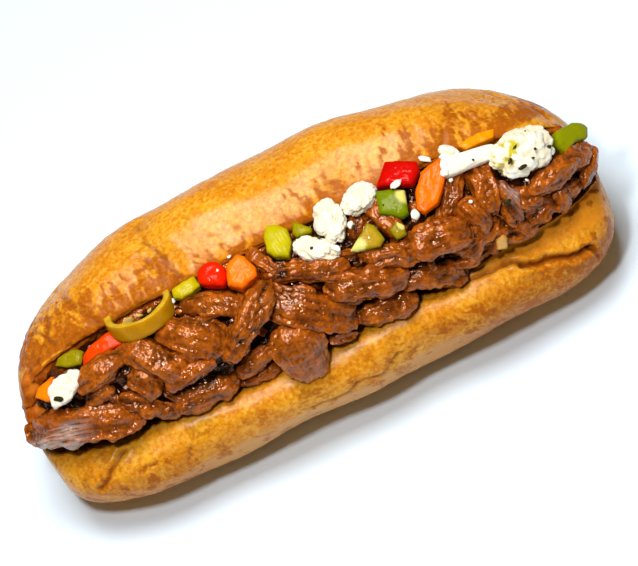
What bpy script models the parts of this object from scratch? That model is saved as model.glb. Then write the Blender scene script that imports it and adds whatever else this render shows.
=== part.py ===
"""A stuffed submarine sandwich: a hinged roll, a heap of sliced beef and pickled vegetables.

Metres, +Z up, +X along the roll, with the open mouth of the roll facing -Y and up.
The filling is laid out on the mouth: across it (x), up it (rise) and out of it (out).
"""

import math

import bmesh
import bpy
import numpy as np

MM = 0.001

# The roll: its length, the lean of its open mouth and the height of the mouth's middle.
ROLL_HALF_LENGTH = 103.5
LEFT_BLUNTER = 0.05
MOUTH_LEAN = math.radians(52)
MOUTH_HEIGHT = 34.5
TIP_Y, TIP_Z = -2.0, 26.0
MIDDLE_Y = -0.1

# The roll's section in mm: y, z and how blunt the roll's ends are at that point.
CRUST = [
    (-4.2, 69.3, 4.0), (2.0, 74.0, 3.4), (12.0, 77.6, 2.9), (24.0, 75.0, 2.6), (34.0, 66.5, 2.6),
    (41.0, 52.0, 2.8), (42.0, 36.0, 3.0), (37.5, 19.0, 3.2), (28.0, 5.0, 3.4), (13.0, -2.4, 3.6),
    (-5.0, -2.4, 4.0), (-21.0, 1.6, 4.6), (-33.0, 9.5, 5.0), (-40.5, 20.0, 4.8), (-42.2, 30.0, 4.0),
    (-39.0, 37.0, 3.2), (-33.0, 39.6, 3.0),
]
CRUMB = [
    (-26.5, 36.0, 3.0), (-12.0, 27.0, 3.0), (4.0, 21.5, 3.0), (18.0, 19.5, 3.0), (27.0, 25.0, 3.0),
    (26.0, 36.0, 3.2), (17.0, 48.0, 3.5), (6.0, 58.5, 3.8), (-1.5, 65.5, 4.0),
]

# The beef under the pieces that show, as a section that stays clear of the crumb.
CORE = [
    (-24.5, 38.0, 3.0), (-11.0, 29.0, 3.0), (4.5, 23.5, 3.0), (17.0, 21.5, 3.0), (24.5, 26.0, 3.0),
    (23.5, 35.0, 3.2), (14.5, 46.0, 3.5), (3.5, 58.0, 3.8), (-4.6, 67.0, 4.0), (-9.4, 69.2, 4.0),
    (-16.5, 66.0, 4.0), (-23.4, 60.0, 4.0), (-28.9, 51.9, 4.0), (-29.6, 42.6, 3.6),
]

# Creases in the crust: from x, share of the section to x, share, then depth and half width.
CREASES = [
    (-41.0, 0.03, -38.0, 0.17, 1.5, 2.6),
    (-76.0, 0.05, -80.0, 0.12, 0.8, 2.2),
    (66.0, 0.595, 92.0, 0.560, 2.4, 2.0),
    (91.0, 0.575, 93.0, 0.520, 1.6, 1.8),
    (-91.0, 0.530, -78.0, 0.585, 1.2, 2.0),
]

# The filling bulges out of the mouth: how far out it starts, its bulge and its half height.
HEAP_OUT = 34.0
HEAP_DROP = 14.0
HEAP_MIDDLE = -2.0
HEAP_HALF = 26.0
TIP_OUT = -5.0

# Pieces of beef: x, rise, length, width, thickness, turn in degrees, lift, arch and sway.
BEEF = [
    (-86.4, -9.6, 41, 15, 9.0, -17, -0.4, 0.5, 1),
    (-64.3, -13.4, 21, 9, 8, -38, -1.0, 1, 0),
    (-73.0, 3.4, 21, 8.5, 8, 13, 3.5, 2, 1),
    (-55.4, -0.8, 25, 11.5, 9, -54, 3.0, 2, 0),
    (-62.0, -5.6, 12, 9, 8, -60, 0.5, 1, 0),
    (-46.0, -16.6, 26, 12.8, 9.5, -6, -2.2, 2, 0),
    (-47.3, -9.8, 19, 5.8, 6, 5, 3.8, 1, 0),
    (-41.3, 0.2, 25, 13.5, 9, -40, 2.5, 2, 0),
    (-30.4, 6.8, 24, 9, 8, -25, 3.7, 2, 0),
    (-22.2, -2.9, 31, 8.8, 8, 37, 6.0, 2, 0),
    (-26.3, -15.0, 15, 7.5, 7, 14, 1.0, 1, 0),
    (-11.3, -19.0, 20, 17.5, 11, -80, 4.0, 3, 0),
    (-2.6, -8.3, 34, 14.5, 9, -37, 2.0, 2, 0),
    (-9.8, 12.4, 14, 4.5, 4, -60, 4.5, 1, 0),
    (-3.4, 6.2, 20, 7.2, 6.5, -14, 3.5, 2, 0),
    (7.0, 1.8, 18, 8.6, 8, -18, 4.5, 2, 0),
    (16.5, 1.6, 11, 5.2, 5, -8, 2.5, 1, 0),
    (-12.9, 4.1, 14, 7, 6, -33, 0.6, 1, 0),
    (17.8, -8.2, 29, 10.8, 9, -15, 4.0, 2, 0),
    (20.0, -18.7, 23, 8.8, 8.0, -5, 0.4, 1, 0),
    (2.6, -20.6, 10, 4.8, 5, -8, 1.5, 1, 0),
    (28.9, -3.8, 21, 9, 8, -20, 3.5, 2, 0),
    (45.0, -5.8, 25, 12.8, 9, -10, 4.0, 2, 0),
    (37.0, -14.6, 28, 10.5, 8.5, -21, -1.2, 2, 0),
    (56.6, -10.6, 18, 11, 9, 12, -0.6, 2, 0),
    (59.6, -4.2, 13, 7, 7, -68, 3.5, 1, 0),
    (55.6, 5.6, 18, 8.6, 7.5, 58, 2.5, 1, 0),
    (66.1, 2.4, 19, 9.6, 8, 84, 2.0, 1, 0),
    (71.6, -5.4, 16, 6.8, 7, -80, 1.5, 1, 0),
    (77.6, -7.2, 12, 7.2, 7, -45, 1.0, 1, 0),
    (80.6, -12.4, 14, 7.4, 7, 14, -0.2, 1, 0),
    (87.4, -11.6, 8, 6, 6, 70, 0.4, 1, 0),
    (72.6, -14.6, 9, 5.2, 5, -45, -0.6, 1, 0),
    (91.5, -3.0, 27, 9.2, 8, 11, 4.0, 1, 0),
    (100.3, -6.2, 15, 7, 6.5, 48, 2.5, 1, 0),
    (94.2, -9.4, 14, 5.4, 5, 14, -0.8, 1, 0),
    (32.0, 9.3, 19, 8.5, 7.5, -70, 4.0, 2, 0),
    (23.5, 9.0, 10, 7, 6, 60, 2.0, 1, 0),
    (-27.0, -20.0, 16, 5.5, 6, -4, -2.0, 1, 0),
    (-52.8, -19.0, 7.5, 4.8, 5, 8, 3.0, 1, 0),
    (-75.6, -2.6, 12, 7, 7, 22, -0.4, 1, 0),
]

# Cut vegetables: name, thickness and lift, then the corners of the outline as x and rise on the mouth.
SLABS = [
    ("carrot_1", 4.5, 2.0, [(-96.8, 5.5), (-94.6, 8.0), (-88.3, 9.4), (-90.6, 2.8), (-93.6, 2.2)]),
    ("cauliflower_stalk_1", 5.5, 4.5, [
        (-93.0, -0.6), (-92.0, 5.6), (-88.8, 8.6), (-83.9, 8.2), (-81.1, 8.8), (-78.6, 6.6), (-82.2, 2.8),
        (-87.0, -0.4),
    ]),
    ("pepper_green_1", 4.0, 1.5, [
        (-86.6, 11.8), (-84.4, 13.8), (-78.3, 14.1), (-75.6, 12.2), (-78.0, 8.4), (-82.4, 9.2),
    ]),
    ("pepper_red_1", 4.0, 2.0, [
        (-78.0, 7.6), (-77.0, 10.6), (-73.4, 12.8), (-65.4, 14.3), (-63.0, 11.2), (-60.7, 8.3), (-67.5, 8.4),
        (-72.0, 8.0),
    ]),
    ("pepper_green_2", 4.0, 6.0, [
        (-41.4, 14.6), (-41.0, 17.2), (-36.4, 17.9), (-32.2, 18.2), (-31.6, 14.3), (-35.0, 13.1), (-39.1, 13.0),
    ]),
    ("pepper_red_2", 5.5, 7.0, [
        (-31.8, 16.2), (-30.2, 19.4), (-27.0, 20.2), (-23.6, 19.2), (-21.8, 16.0), (-22.4, 12.8), (-24.6, 10.6),
        (-28.6, 12.5), (-31.2, 14.2),
    ]),
    ("carrot_2", 7.0, 5.5, [
        (-21.4, 16.4), (-16.5, 18.2), (-14.3, 16.0), (-12.4, 11.0), (-13.2, 8.6), (-19.8, 6.9), (-23.6, 9.9),
    ]),
    ("celery_1", 6.0, 7.5, [
        (-7.1, 14.3), (-6.0, 19.3), (-3.6, 22.2), (-1.0, 21.6), (2.2, 18.2), (1.7, 14.3), (-1.3, 9.9),
        (-5.4, 12.0),
    ]),
    ("pepper_green_3", 4.0, 5.0, [(2.9, 16.4), (4.6, 19.8), (6.3, 18.7), (9.6, 14.9), (8.8, 13.9), (3.6, 14.4)]),
    ("pepper_green_4", 4.0, 7.5, [(17.4, 3.1), (26.4, 8.8), (28.2, 7.4), (29.3, 1.7), (27.1, 0.0), (19.4, 1.9)]),
    ("pepper_red_3", 5.0, 10.0, [(34.3, 17.7), (40.6, 24.1), (50.3, 19.3), (49.6, 16.6), (45.6, 13.2), (39.4, 15.6)]),
    ("pepper_green_5", 5.0, 7.5, [(31.3, 9.6), (33.6, 16.8), (37.6, 15.4), (42.4, 13.0), (40.0, 5.5), (37.4, 5.2)]),
    ("carrot_3", 4.5, 7.0, [
        (43.2, 5.3), (44.8, 10.5), (49.8, 16.0), (57.4, 17.6), (58.2, 14.6), (54.7, 8.8), (50.3, 4.4), (44.8, 3.3),
    ]),
    ("pepper_green_6", 3.5, 7.5, [(31.8, 3.9), (35.4, 5.2), (37.1, 2.8), (36.5, -0.3), (32.7, -0.3)]),
    ("carrot_4", 3.5, 4.0, [(64.1, 18.4), (68.0, 19.2), (73.5, 19.2), (77.9, 17.9), (76.6, 15.6), (66.8, 15.8)]),
    ("pepper_green_7", 5.0, 4.0, [
        (92.6, 4.2), (95.0, 8.6), (101.1, 8.9), (104.4, 7.2), (105.5, 5.0), (103.8, 1.9), (98.9, 2.2), (95.0, 0.6),
    ]),
    ("onion_1", 3.0, 2.5, [(61.0, -17.6), (62.0, -14.6), (65.0, -13.8), (65.8, -16.0), (64.4, -18.6)]),
]

# Cauliflower florets: name, x, rise, length, width, thickness, turn, lift and stalk length.
FLORETS = [
    ("cauliflower_1", 7.8, 8.6, 16.0, 9.0, 7.0, -38, 6.0, 0),
    ("cauliflower_2", 15.9, 15.0, 15.5, 11.5, 9.0, 80, 8.0, 0),
    ("cauliflower_3", 27.6, 17.4, 13.5, 9.5, 8.0, 15, 9.5, 0),
    ("cauliflower_4", 82.2, 8.0, 23.0, 18.0, 13.0, -6, 7.0, 15),
    ("cauliflower_5", 61.8, 17.8, 6.5, 5.5, 5.0, -20, 8.5, 0),
]

# The pickled pepper ring: x, rise, lift, outer radius, wall, height and the lean of its axis.
RING = (-53.8, 15.6, 3.2, 12.0, 2.6, 6.4, 28)

# A slice's rounded edge, as angles round it and how square it is.
EDGE_ANGLES = (-62, -20, 20, 62)
EDGE_POWER = 0.5

# How much of the heap's slope a piece on it takes up.
LEAN_SHARE = 0.6

# The lower lip's inner side is folded outward towards the right end: how far, and where on the section.
FLAP_OUT, FLAP_SHARE, FLAP_HALF = 4.5, 0.656, 0.022

# The gap between neighbours, and the bumps of the cauliflower.
GAP = 0.4
FLORET_BUMPS = 26
FLORET_SEED = 7


def sweep_share(power):
    """A function that raises the size of a value to a power and keeps its sign, as on a superellipse."""
    return lambda value: np.sign(value) * np.abs(value) ** power


def closed_spline(points, per_span):
    """A smooth closed curve through points: a periodic cubic spline, with per_span samples a span."""
    points = np.array(points, float)
    count = len(points)
    spans = np.linalg.norm(np.roll(points, -1, axis=0)[:, :2] - points[:, :2], axis=1)
    before = np.roll(spans, 1)
    system = np.zeros((count, count))
    rows = np.arange(count)
    system[rows, rows] = 2 * (spans + before)
    system[rows, rows - 1] = spans
    system[rows, (rows + 1) % count] = before
    ahead = (np.roll(points, -1, axis=0) - points) / spans[:, None]
    behind = np.roll(ahead, 1, axis=0)
    slopes = np.linalg.solve(system, 3 * (ahead * before[:, None] + behind * spans[:, None]))
    t = np.tile(np.arange(per_span) / per_span, count)[:, None]
    span = np.repeat(rows, per_span)
    width = spans[span][:, None]
    start, end = points[span], points[(span + 1) % count]
    into, out_of = slopes[span] * width, slopes[(span + 1) % count] * width
    return (
        start * (2 * t**3 - 3 * t**2 + 1)
        + into * (t**3 - 2 * t**2 + t)
        + end * (3 * t**2 - 2 * t**3)
        + out_of * (t**3 - t**2)
    )


def stations(count):
    """Places along the roll from -1 to 1, closer together towards its two ends."""
    a = np.linspace(-1, 1, count + 2)[1:-1]
    return np.sign(a) * (1 - (1 - np.abs(a)) ** 2)


def lengthwise(section, along):
    """Rings of the section, shrunk towards the tips by a superellipse: the left end is the blunter one."""
    blunt = section[None, :, 2] * (1 - LEFT_BLUNTER * along[:, None])
    shrink = (1 - np.abs(along[:, None]) ** blunt) ** (1 / blunt)
    y = TIP_Y + shrink * (section[None, :, 0] - TIP_Y)
    z = TIP_Z + shrink * (section[None, :, 1] - TIP_Z)
    x = np.broadcast_to(along[:, None] * ROLL_HALF_LENGTH, y.shape)
    return np.stack([x, y, z], axis=2)


def ring_normals(rings):
    """Outward normals of a closed set of rings, from its steps along and around."""
    along = np.gradient(rings, axis=0)
    around = np.roll(rings, -1, axis=1) - np.roll(rings, 1, axis=1)
    normals = np.cross(along, around)
    return normals / np.maximum(np.linalg.norm(normals, axis=2, keepdims=True), 1e-9)


def crease_depth(x, share):
    """How deep the crust is creased at x and a share of the way round: the sum of soft grooves."""
    section_length = 330.0
    depth = np.zeros(np.broadcast(x, share).shape)
    for x0, s0, x1, s1, deep, half in CREASES:
        dx, ds = x1 - x0, (s1 - s0) * section_length
        px, ps = x - x0, (share - s0) * section_length
        t = np.clip((px * dx + ps * ds) / (dx * dx + ds * ds), 0, 1)
        away = np.hypot(px - t * dx, ps - t * ds)
        depth += deep * np.exp(-((away / half) ** 2))
    return depth


def roll_rings(count, per_span, grow=0.0):
    """The whole roll: its section swept along X, creased, and flat where it rests."""
    section = closed_spline(CRUST + CRUMB, per_span)
    rings = lengthwise(section, stations(count))
    normals = ring_normals(rings)
    share = np.arange(len(section))[None, :] / len(section)
    x = rings[:, :, 0]
    swell = 0.5 * np.sin(x / 11 + 40 * share) + 0.4 * np.sin(x / 6.3 - 25 * share + 1)
    crust = share < len(CRUST) / (len(CRUST) + len(CRUMB))
    relief = np.where(crust, swell - crease_depth(x, share), 0.0)
    rings = rings + normals * (relief + grow)[:, :, None]
    flap = FLAP_OUT * np.clip((x - 38) / 16, 0, 1) * np.exp(-(((share - FLAP_SHARE) / FLAP_HALF) ** 2))
    rings = rings + (from_mouth(0, 0, 1.0) - from_mouth(0, 0, 0.0)) * flap[:, :, None]
    rings[:, :, 2] = np.maximum(rings[:, :, 2], -grow)
    return rings


def mesh_from_rings(name, rings, ends=None, wrap=False):
    """Bridges successive rings of points with quads, and closes both ends on a point or on each other."""
    bm = bmesh.new()
    loops = [[bm.verts.new(place(point)) for point in ring] for ring in rings]
    pairs = list(zip(loops, loops[1:]))
    if wrap:
        pairs.append((loops[-1], loops[0]))
    for first, second in pairs:
        for k in range(len(first)):
            j = (k + 1) % len(first)
            bm.faces.new((first[k], first[j], second[j], second[k]))
    if ends is not None:
        for loop, end in ((loops[0][::-1], ends[0]), (loops[-1], ends[1])):
            tip = bm.verts.new(place(end))
            for k in range(len(loop)):
                bm.faces.new((loop[k], loop[(k + 1) % len(loop)], tip))
    bmesh.ops.recalc_face_normals(bm, faces=bm.faces)
    if bm.calc_volume(signed=True) < 0:
        bmesh.ops.reverse_faces(bm, faces=bm.faces)
    mesh = bpy.data.meshes.new(name)
    bm.to_mesh(mesh)
    bm.free()
    obj = bpy.data.objects.new(name, mesh)
    bpy.context.scene.collection.objects.link(obj)
    return obj


def place(point):
    """A point in mm as one in metres, with the origin under the middle of the roll."""
    return (point[0] * MM, (point[1] + MIDDLE_Y) * MM, point[2] * MM)


def from_mouth(x, rise, out):
    """Points measured on the open mouth, as x, y and z."""
    y = rise * math.sin(MOUTH_LEAN) - out * math.cos(MOUTH_LEAN)
    z = MOUTH_HEIGHT + rise * math.cos(MOUTH_LEAN) + out * math.sin(MOUTH_LEAN)
    return np.stack(np.broadcast_arrays(x, y, z), axis=-1)


def heap_out(x, rise):
    """How far out of the mouth the filling stands: a bulge across it that sinks towards the tips."""
    along = np.minimum(np.abs(x) / ROLL_HALF_LENGTH, 1.0)
    shrink = np.maximum((1 - along**4) ** 0.25, 0.55)
    across = (rise - HEAP_MIDDLE) / (HEAP_HALF * shrink)
    return TIP_OUT + shrink * (HEAP_OUT - TIP_OUT - HEAP_DROP * across**2)


def on_heap(x, rise, lift):
    """A point lifted off the filling's surface."""
    return from_mouth(x, rise, heap_out(x, rise) + lift)


def lying(x, rise, lift, turn=0.0):
    """Origin and axes of a piece on the heap, which keep its outline as seen from straight out of the mouth."""
    step = 1.0
    slope_x = (heap_out(x + step, rise) - heap_out(x - step, rise)) / (2 * step) * LEAN_SHARE
    slope_t = (heap_out(x, rise + step) - heap_out(x, rise - step)) / (2 * step) * LEAN_SHARE
    angle = math.radians(turn)
    c, s = math.cos(angle), math.sin(angle)
    start = from_mouth(0, 0, 0)
    along = from_mouth(c, s, slope_x * c + slope_t * s) - start
    across = from_mouth(-s, c, slope_t * c - slope_x * s) - start
    out = np.cross(along, across)
    return on_heap(x, rise, lift), np.stack([along, across, out / np.linalg.norm(out)])


def block_rings(length, width, thick):
    """A rounded block: superellipses across, shrinking as a superellipse along."""
    power = sweep_share(0.5)
    v = np.radians([-62.0, -22.0, 22.0, 62.0])[:, None]
    theta = (np.arange(8) * 2 * math.pi / 8)[None, :]
    a = length / 2 * power(np.sin(v)) + 0 * theta
    b = width / 2 * power(np.cos(v)) * power(np.cos(theta))
    n = thick / 2 * power(np.cos(v)) * power(np.sin(theta))
    return np.stack([a, b, n], axis=2), np.array([(-length / 2, 0, 0), (length / 2, 0, 0)])


def slab_rings(outline, thick):
    """A cut slice: its outline, drawn in towards both faces as a superellipse, so that its edge is rounded."""
    power = sweep_share(EDGE_POWER)
    v = np.radians(EDGE_ANGLES)[:, None]
    flat = np.array(outline)[None, :, :] * power(np.cos(v))[:, :, None]
    level = thick / 2 * power(np.sin(v)) + 0 * flat[:, :, 0]
    return np.dstack([flat, level]), np.array([(0, 0, -thick / 2), (0, 0, thick / 2)])


def floret_rings(length, width, thick, rng, rings=8, around=14):
    """A lumpy ball: an ellipsoid swollen by soft bumps at random places."""
    v = np.linspace(-math.pi / 2, math.pi / 2, rings + 2)[:, None]
    theta = (np.arange(around) * 2 * math.pi / around)[None, :]
    way = np.stack(
        np.broadcast_arrays(np.sin(v), np.cos(v) * np.cos(theta), np.cos(v) * np.sin(theta)), axis=2
    )
    bumps = rng.normal(size=(FLORET_BUMPS, 3))
    bumps /= np.linalg.norm(bumps, axis=1, keepdims=True)
    near = np.max(np.exp(-(1 - way @ bumps.T) * 14), axis=2)
    ball = way * (0.80 + 0.26 * near)[:, :, None] * np.array([length, width, thick]) / 2
    return ball[1:-1], np.array([ball[0].mean(0), ball[-1].mean(0)])


def laid_piece(name, shape, x, rise, lift, turn):
    """Puts a shape made in its own axes on the heap."""
    rings, ends = shape
    origin, axes = lying(x, rise, lift, turn)
    return mesh_from_rings(name, origin + rings @ axes, origin + ends @ axes)


def strip(name, x, rise, length, width, thick, turn, lift, arch, sway, stations_count=5, around=8):
    """A piece of beef: an oval section carried along a line on the heap, with both ends tucked in."""
    angle = math.radians(turn)
    s = np.linspace(-1, 1, stations_count + 2)
    middle = 1 - s**2
    px = x + s * length / 2 * math.cos(angle) - sway * (middle - 0.5) * math.sin(angle)
    pt = rise + s * length / 2 * math.sin(angle) + sway * (middle - 0.5) * math.cos(angle)
    line = on_heap(px, pt, lift - arch * s**2)
    along = np.gradient(line, axis=0)
    along /= np.linalg.norm(along, axis=1, keepdims=True)
    out = from_mouth(0, 0, 1.0) - from_mouth(0, 0, 0.0)
    across = np.cross(out[None, :], along)
    across /= np.linalg.norm(across, axis=1, keepdims=True)
    up = np.cross(along, across)
    size = np.sqrt(1 - np.abs(s) ** 3)
    theta = np.arange(around) * 2 * math.pi / around
    rings = (
        line[1:-1, None, :]
        + across[1:-1, None, :] * (width / 2 * size[1:-1, None] * np.cos(theta))[:, :, None]
        + up[1:-1, None, :] * (thick / 2 * size[1:-1, None] * np.sin(theta))[:, :, None]
    )
    return mesh_from_rings(name, rings, (line[0], line[-1]))


def pepper_ring(name):
    """A slice of pickled pepper: a rounded rectangle turned round an axis that leans out of the mouth."""
    x, rise, lift, radius, wall, height, lean = RING
    tilt = math.radians(lean)
    axis = from_mouth(0, math.cos(tilt), math.sin(tilt)) - from_mouth(0, 0, 0)
    side = np.array([1.0, 0.0, 0.0])
    depth = np.cross(axis, side)
    power = sweep_share(0.6)
    turn = (np.arange(18) * 2 * math.pi / 18)[:, None, None]
    theta = (np.arange(8) * 2 * math.pi / 8)[None, :, None]
    reach = radius - wall / 2 + wall / 2 * power(np.cos(theta))
    level = height / 2 * power(np.sin(theta))
    centre = on_heap(x, rise, lift)
    rings = centre + side * reach * np.cos(turn) + depth * reach * np.sin(turn) + axis * level
    return mesh_from_rings(name, rings, wrap=True)


def floret_with_stalk(name, rings, ends, origin, axes, length, stalk):
    """A floret's head and its stalk, joined into one solid."""
    head = mesh_from_rings(name, origin + rings @ axes, origin + ends @ axes)
    stem_rings, stem_ends = block_rings(stalk + 4, 6.5, 5.5)
    shift = np.array([-(length / 2 + stalk / 2 - 1.5), 2.6, 0.0])
    stem = mesh_from_rings(
        "stem", origin + (stem_rings + shift) @ axes, origin + (stem_ends + shift) @ axes
    )
    combine(head, [stem], "UNION")
    return head


def combine(target, others, operation):
    """Joins others to the target, or cuts them from it, and keeps the largest closed shell."""
    group = bpy.data.collections.new("others")
    bpy.context.scene.collection.children.link(group)
    for other in others:
        for holder in list(other.users_collection):
            holder.objects.unlink(other)
        group.objects.link(other)
    modifier = target.modifiers.new("join", "BOOLEAN")
    modifier.operation = operation
    modifier.operand_type = "COLLECTION"
    modifier.collection = group
    modifier.solver = "EXACT"
    modifier.use_self = False
    bpy.context.view_layer.update()
    graph = bpy.context.evaluated_depsgraph_get()
    mesh = bpy.data.meshes.new_from_object(target.evaluated_get(graph))
    target.modifiers.clear()
    target.data = mesh
    for other in others:
        bpy.data.objects.remove(other)
    bpy.data.collections.remove(group)
    keep_largest_shell(target)


def keep_largest_shell(obj):
    """Drops scraps and sealed hollows: every shell but the one of the largest volume."""
    bm = bmesh.new()
    bm.from_mesh(obj.data)
    bmesh.ops.remove_doubles(bm, verts=bm.verts, dist=0.00002)
    bmesh.ops.triangulate(bm, faces=bm.faces)
    left, shells = set(bm.faces), []
    while left:
        shell, queue = set(), [left.pop()]
        while queue:
            face = queue.pop()
            shell.add(face)
            for edge in face.edges:
                for other in edge.link_faces:
                    if other in left:
                        left.discard(other)
                        queue.append(other)
        shells.append(shell)

    def volume(shell):
        return sum(f.verts[0].co.dot(f.verts[1].co.cross(f.verts[2].co)) for f in shell)

    shells.sort(key=volume, reverse=True)
    scraps = [face for shell in shells[1:] for face in shell]
    bmesh.ops.delete(bm, geom=scraps, context="FACES")
    bm.to_mesh(obj.data)
    bm.free()


def grown_copy(obj, distance):
    """A copy of a solid with its surface moved out, to cut a clear space round it."""
    copy = bpy.data.objects.new(obj.name + "_clear", obj.data.copy())
    bpy.context.scene.collection.objects.link(copy)
    bm = bmesh.new()
    bm.from_mesh(copy.data)
    bm.normal_update()
    for vert in bm.verts:
        vert.co += vert.normal * distance * vert.calc_shell_factor()
    bm.to_mesh(copy.data)
    bm.free()
    return copy


def boxes_meet(first, second, slack=0.001):
    """Whether two objects' boxes come near each other."""
    a = np.array([v.co for v in first.data.vertices])
    b = np.array([v.co for v in second.data.vertices])
    return bool(np.all(a.min(0) - slack < b.max(0)) and np.all(b.min(0) - slack < a.max(0)))


def finish(obj, colour, roughness, smooth=True):
    """Gives a solid its material, with the colour and gloss of the real food."""
    material = bpy.data.materials.new(obj.name)
    material.use_nodes = True
    shader = material.node_tree.nodes["Principled BSDF"]
    shader.inputs["Base Color"].default_value = (*colour, 1.0)
    shader.inputs["Roughness"].default_value = roughness
    shader.inputs["Metallic"].default_value = 0.0
    obj.data.materials.clear()
    obj.data.materials.append(material)
    if smooth:
        obj.data.shade_smooth()
        obj.data.set_sharp_from_angle(angle=math.radians(50))


COLOURS = {
    "roll": ((0.72, 0.36, 0.08), 0.42),
    "beef": ((0.16, 0.055, 0.025), 0.35),
    "carrot": ((0.85, 0.25, 0.02), 0.35),
    "cauliflower": ((0.85, 0.82, 0.66), 0.55),
    "pepper_green": ((0.26, 0.36, 0.02), 0.30),
    "pepper_red": ((0.72, 0.04, 0.01), 0.28),
    "celery": ((0.48, 0.50, 0.04), 0.35),
    "onion": ((0.62, 0.42, 0.20), 0.40),
    "pickled_ring": ((0.42, 0.36, 0.03), 0.32),
}


def clear_scene():
    for obj in list(bpy.data.objects):
        bpy.data.objects.remove(obj)


def build_toppings():
    """Every vegetable piece, laid on the heap."""
    pieces = []
    for name, thick, lift, corners in SLABS:
        x, rise = np.mean(corners, axis=0)
        shape = slab_rings(np.array(corners) - (x, rise), thick)
        pieces.append(laid_piece(name, shape, x, rise, lift, 0.0))
    rng = np.random.default_rng(FLORET_SEED)
    for name, x, rise, length, width, thick, turn, lift, stalk in FLORETS:
        rings, ends = floret_rings(length, width, thick, rng)
        if stalk:
            origin, axes = lying(x, rise, lift, turn)
            pieces.append(floret_with_stalk(name, rings, ends, origin, axes, length, stalk))
        else:
            pieces.append(laid_piece(name, (rings, ends), x, rise, lift, turn))
    pieces.append(pepper_ring("pickled_ring"))
    return pieces


def build_beef():
    """The beef as one heap: a plain core with the pieces that show joined on."""
    section = closed_spline(CORE, 1)
    along = stations(13)
    core_rings = lengthwise(section, along)
    tip = ROLL_HALF_LENGTH - 2.0
    core_rings[:, :, 0] *= tip / ROLL_HALF_LENGTH
    core = mesh_from_rings("beef", core_rings, ((-tip, TIP_Y, TIP_Z), (tip, TIP_Y, TIP_Z)))
    pieces = [strip(f"piece_{k}", *row) for k, row in enumerate(BEEF)]
    combine(core, pieces, "UNION")
    return core


def cut_clear(piece, neighbours):
    """Cuts room for the neighbours that a piece would cross, with a small gap."""
    near = [other for other in neighbours if boxes_meet(piece, other)]
    if near:
        combine(piece, [grown_copy(other, GAP * MM) for other in near], "DIFFERENCE")


def main():
    clear_scene()
    tips = ((-ROLL_HALF_LENGTH, TIP_Y, TIP_Z), (ROLL_HALF_LENGTH, TIP_Y, TIP_Z))
    roll = mesh_from_rings("roll", roll_rings(33, 2), tips)
    toppings = build_toppings()
    for k, piece in enumerate(toppings):
        cut_clear(piece, [roll] + toppings[:k])
    beef = build_beef()
    cut_clear(beef, [roll] + toppings)
    for obj in [roll, beef] + toppings:
        kind = next(key for key in COLOURS if obj.name.startswith(key))
        finish(obj, *COLOURS[kind])


main()
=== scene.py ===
# %% [markdown]
# # A stuffed submarine sandwich
#
# A soft roll is split along one side and opened like a book, and its mouth is filled with glossy sliced
# beef and chopped pickled vegetables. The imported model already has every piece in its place, as plain
# solids. This lesson keeps those places and gives each piece the surface of the real food.

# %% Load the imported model
import math

import bpy
import numpy as np
from mathutils import Matrix, Vector


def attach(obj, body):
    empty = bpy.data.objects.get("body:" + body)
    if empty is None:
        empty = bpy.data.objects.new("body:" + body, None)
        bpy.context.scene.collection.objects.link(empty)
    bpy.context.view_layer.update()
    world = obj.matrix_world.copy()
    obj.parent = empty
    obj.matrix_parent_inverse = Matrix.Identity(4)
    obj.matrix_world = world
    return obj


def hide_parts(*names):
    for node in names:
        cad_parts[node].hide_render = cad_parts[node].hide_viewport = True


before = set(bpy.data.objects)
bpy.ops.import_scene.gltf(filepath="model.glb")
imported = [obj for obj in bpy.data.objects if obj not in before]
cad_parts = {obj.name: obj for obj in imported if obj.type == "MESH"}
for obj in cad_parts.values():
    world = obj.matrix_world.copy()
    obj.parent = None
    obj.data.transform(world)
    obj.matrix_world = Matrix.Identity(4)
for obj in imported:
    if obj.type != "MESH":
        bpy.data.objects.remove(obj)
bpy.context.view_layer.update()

# %% [markdown]
# ## Measuring on the open mouth
#
# The filling lies in the mouth of the roll, which leans back by 52 degrees. It is far easier to say where
# a slice of beef lies when we measure on the mouth itself: `x` along the roll, `rise` up the mouth and
# `out` straight out of it. One function turns such a place into x, y and z. All of it is in millimetres,
# and only the last step into Blender changes to metres.

# %% The mouth and the heap that fills it
MM = 0.001
HALF_LENGTH = 103.5
LEAN = math.radians(52)
MOUTH_HEIGHT = 34.5
MIDDLE_Y = -0.1
HEAP_OUT, HEAP_DROP, HEAP_MIDDLE, HEAP_HALF, TIP_OUT = 34.0, 14.0, -2.0, 26.0, -5.0


def from_mouth(x, rise, out):
    """Turns the place by the lean about X: y = rise sin - out cos, z = height + rise cos + out sin."""
    y = rise * math.sin(LEAN) - out * math.cos(LEAN)
    z = MOUTH_HEIGHT + rise * math.cos(LEAN) + out * math.sin(LEAN)
    return np.stack(np.broadcast_arrays(x, y, z), axis=-1)


def to_mouth(points):
    """The same turn backwards: the rise and the out of points."""
    y, z = points[..., 1], points[..., 2] - MOUTH_HEIGHT
    return y * math.sin(LEAN) + z * math.cos(LEAN), z * math.sin(LEAN) - y * math.cos(LEAN)


def heap_out(x, rise):
    """A parabola across the mouth, shrunk towards the tips of the roll by a superellipse of power 4."""
    along = np.minimum(np.abs(x) / HALF_LENGTH, 1.0)
    shrink = np.maximum((1 - along**4) ** 0.25, 0.55)
    across = (rise - HEAP_MIDDLE) / (HEAP_HALF * shrink)
    return TIP_OUT + shrink * (HEAP_OUT - TIP_OUT - HEAP_DROP * across**2)


def on_heap(x, rise, lift):
    """A place that stands off the heap by lift."""
    return from_mouth(x, rise, heap_out(x, rise) + lift)


STRAIGHT_OUT = from_mouth(0, 0, 1.0) - from_mouth(0, 0, 0.0)
print("middle of the heap in mm:", np.round(on_heap(0.0, 0.0, 0.0), 1))

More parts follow.
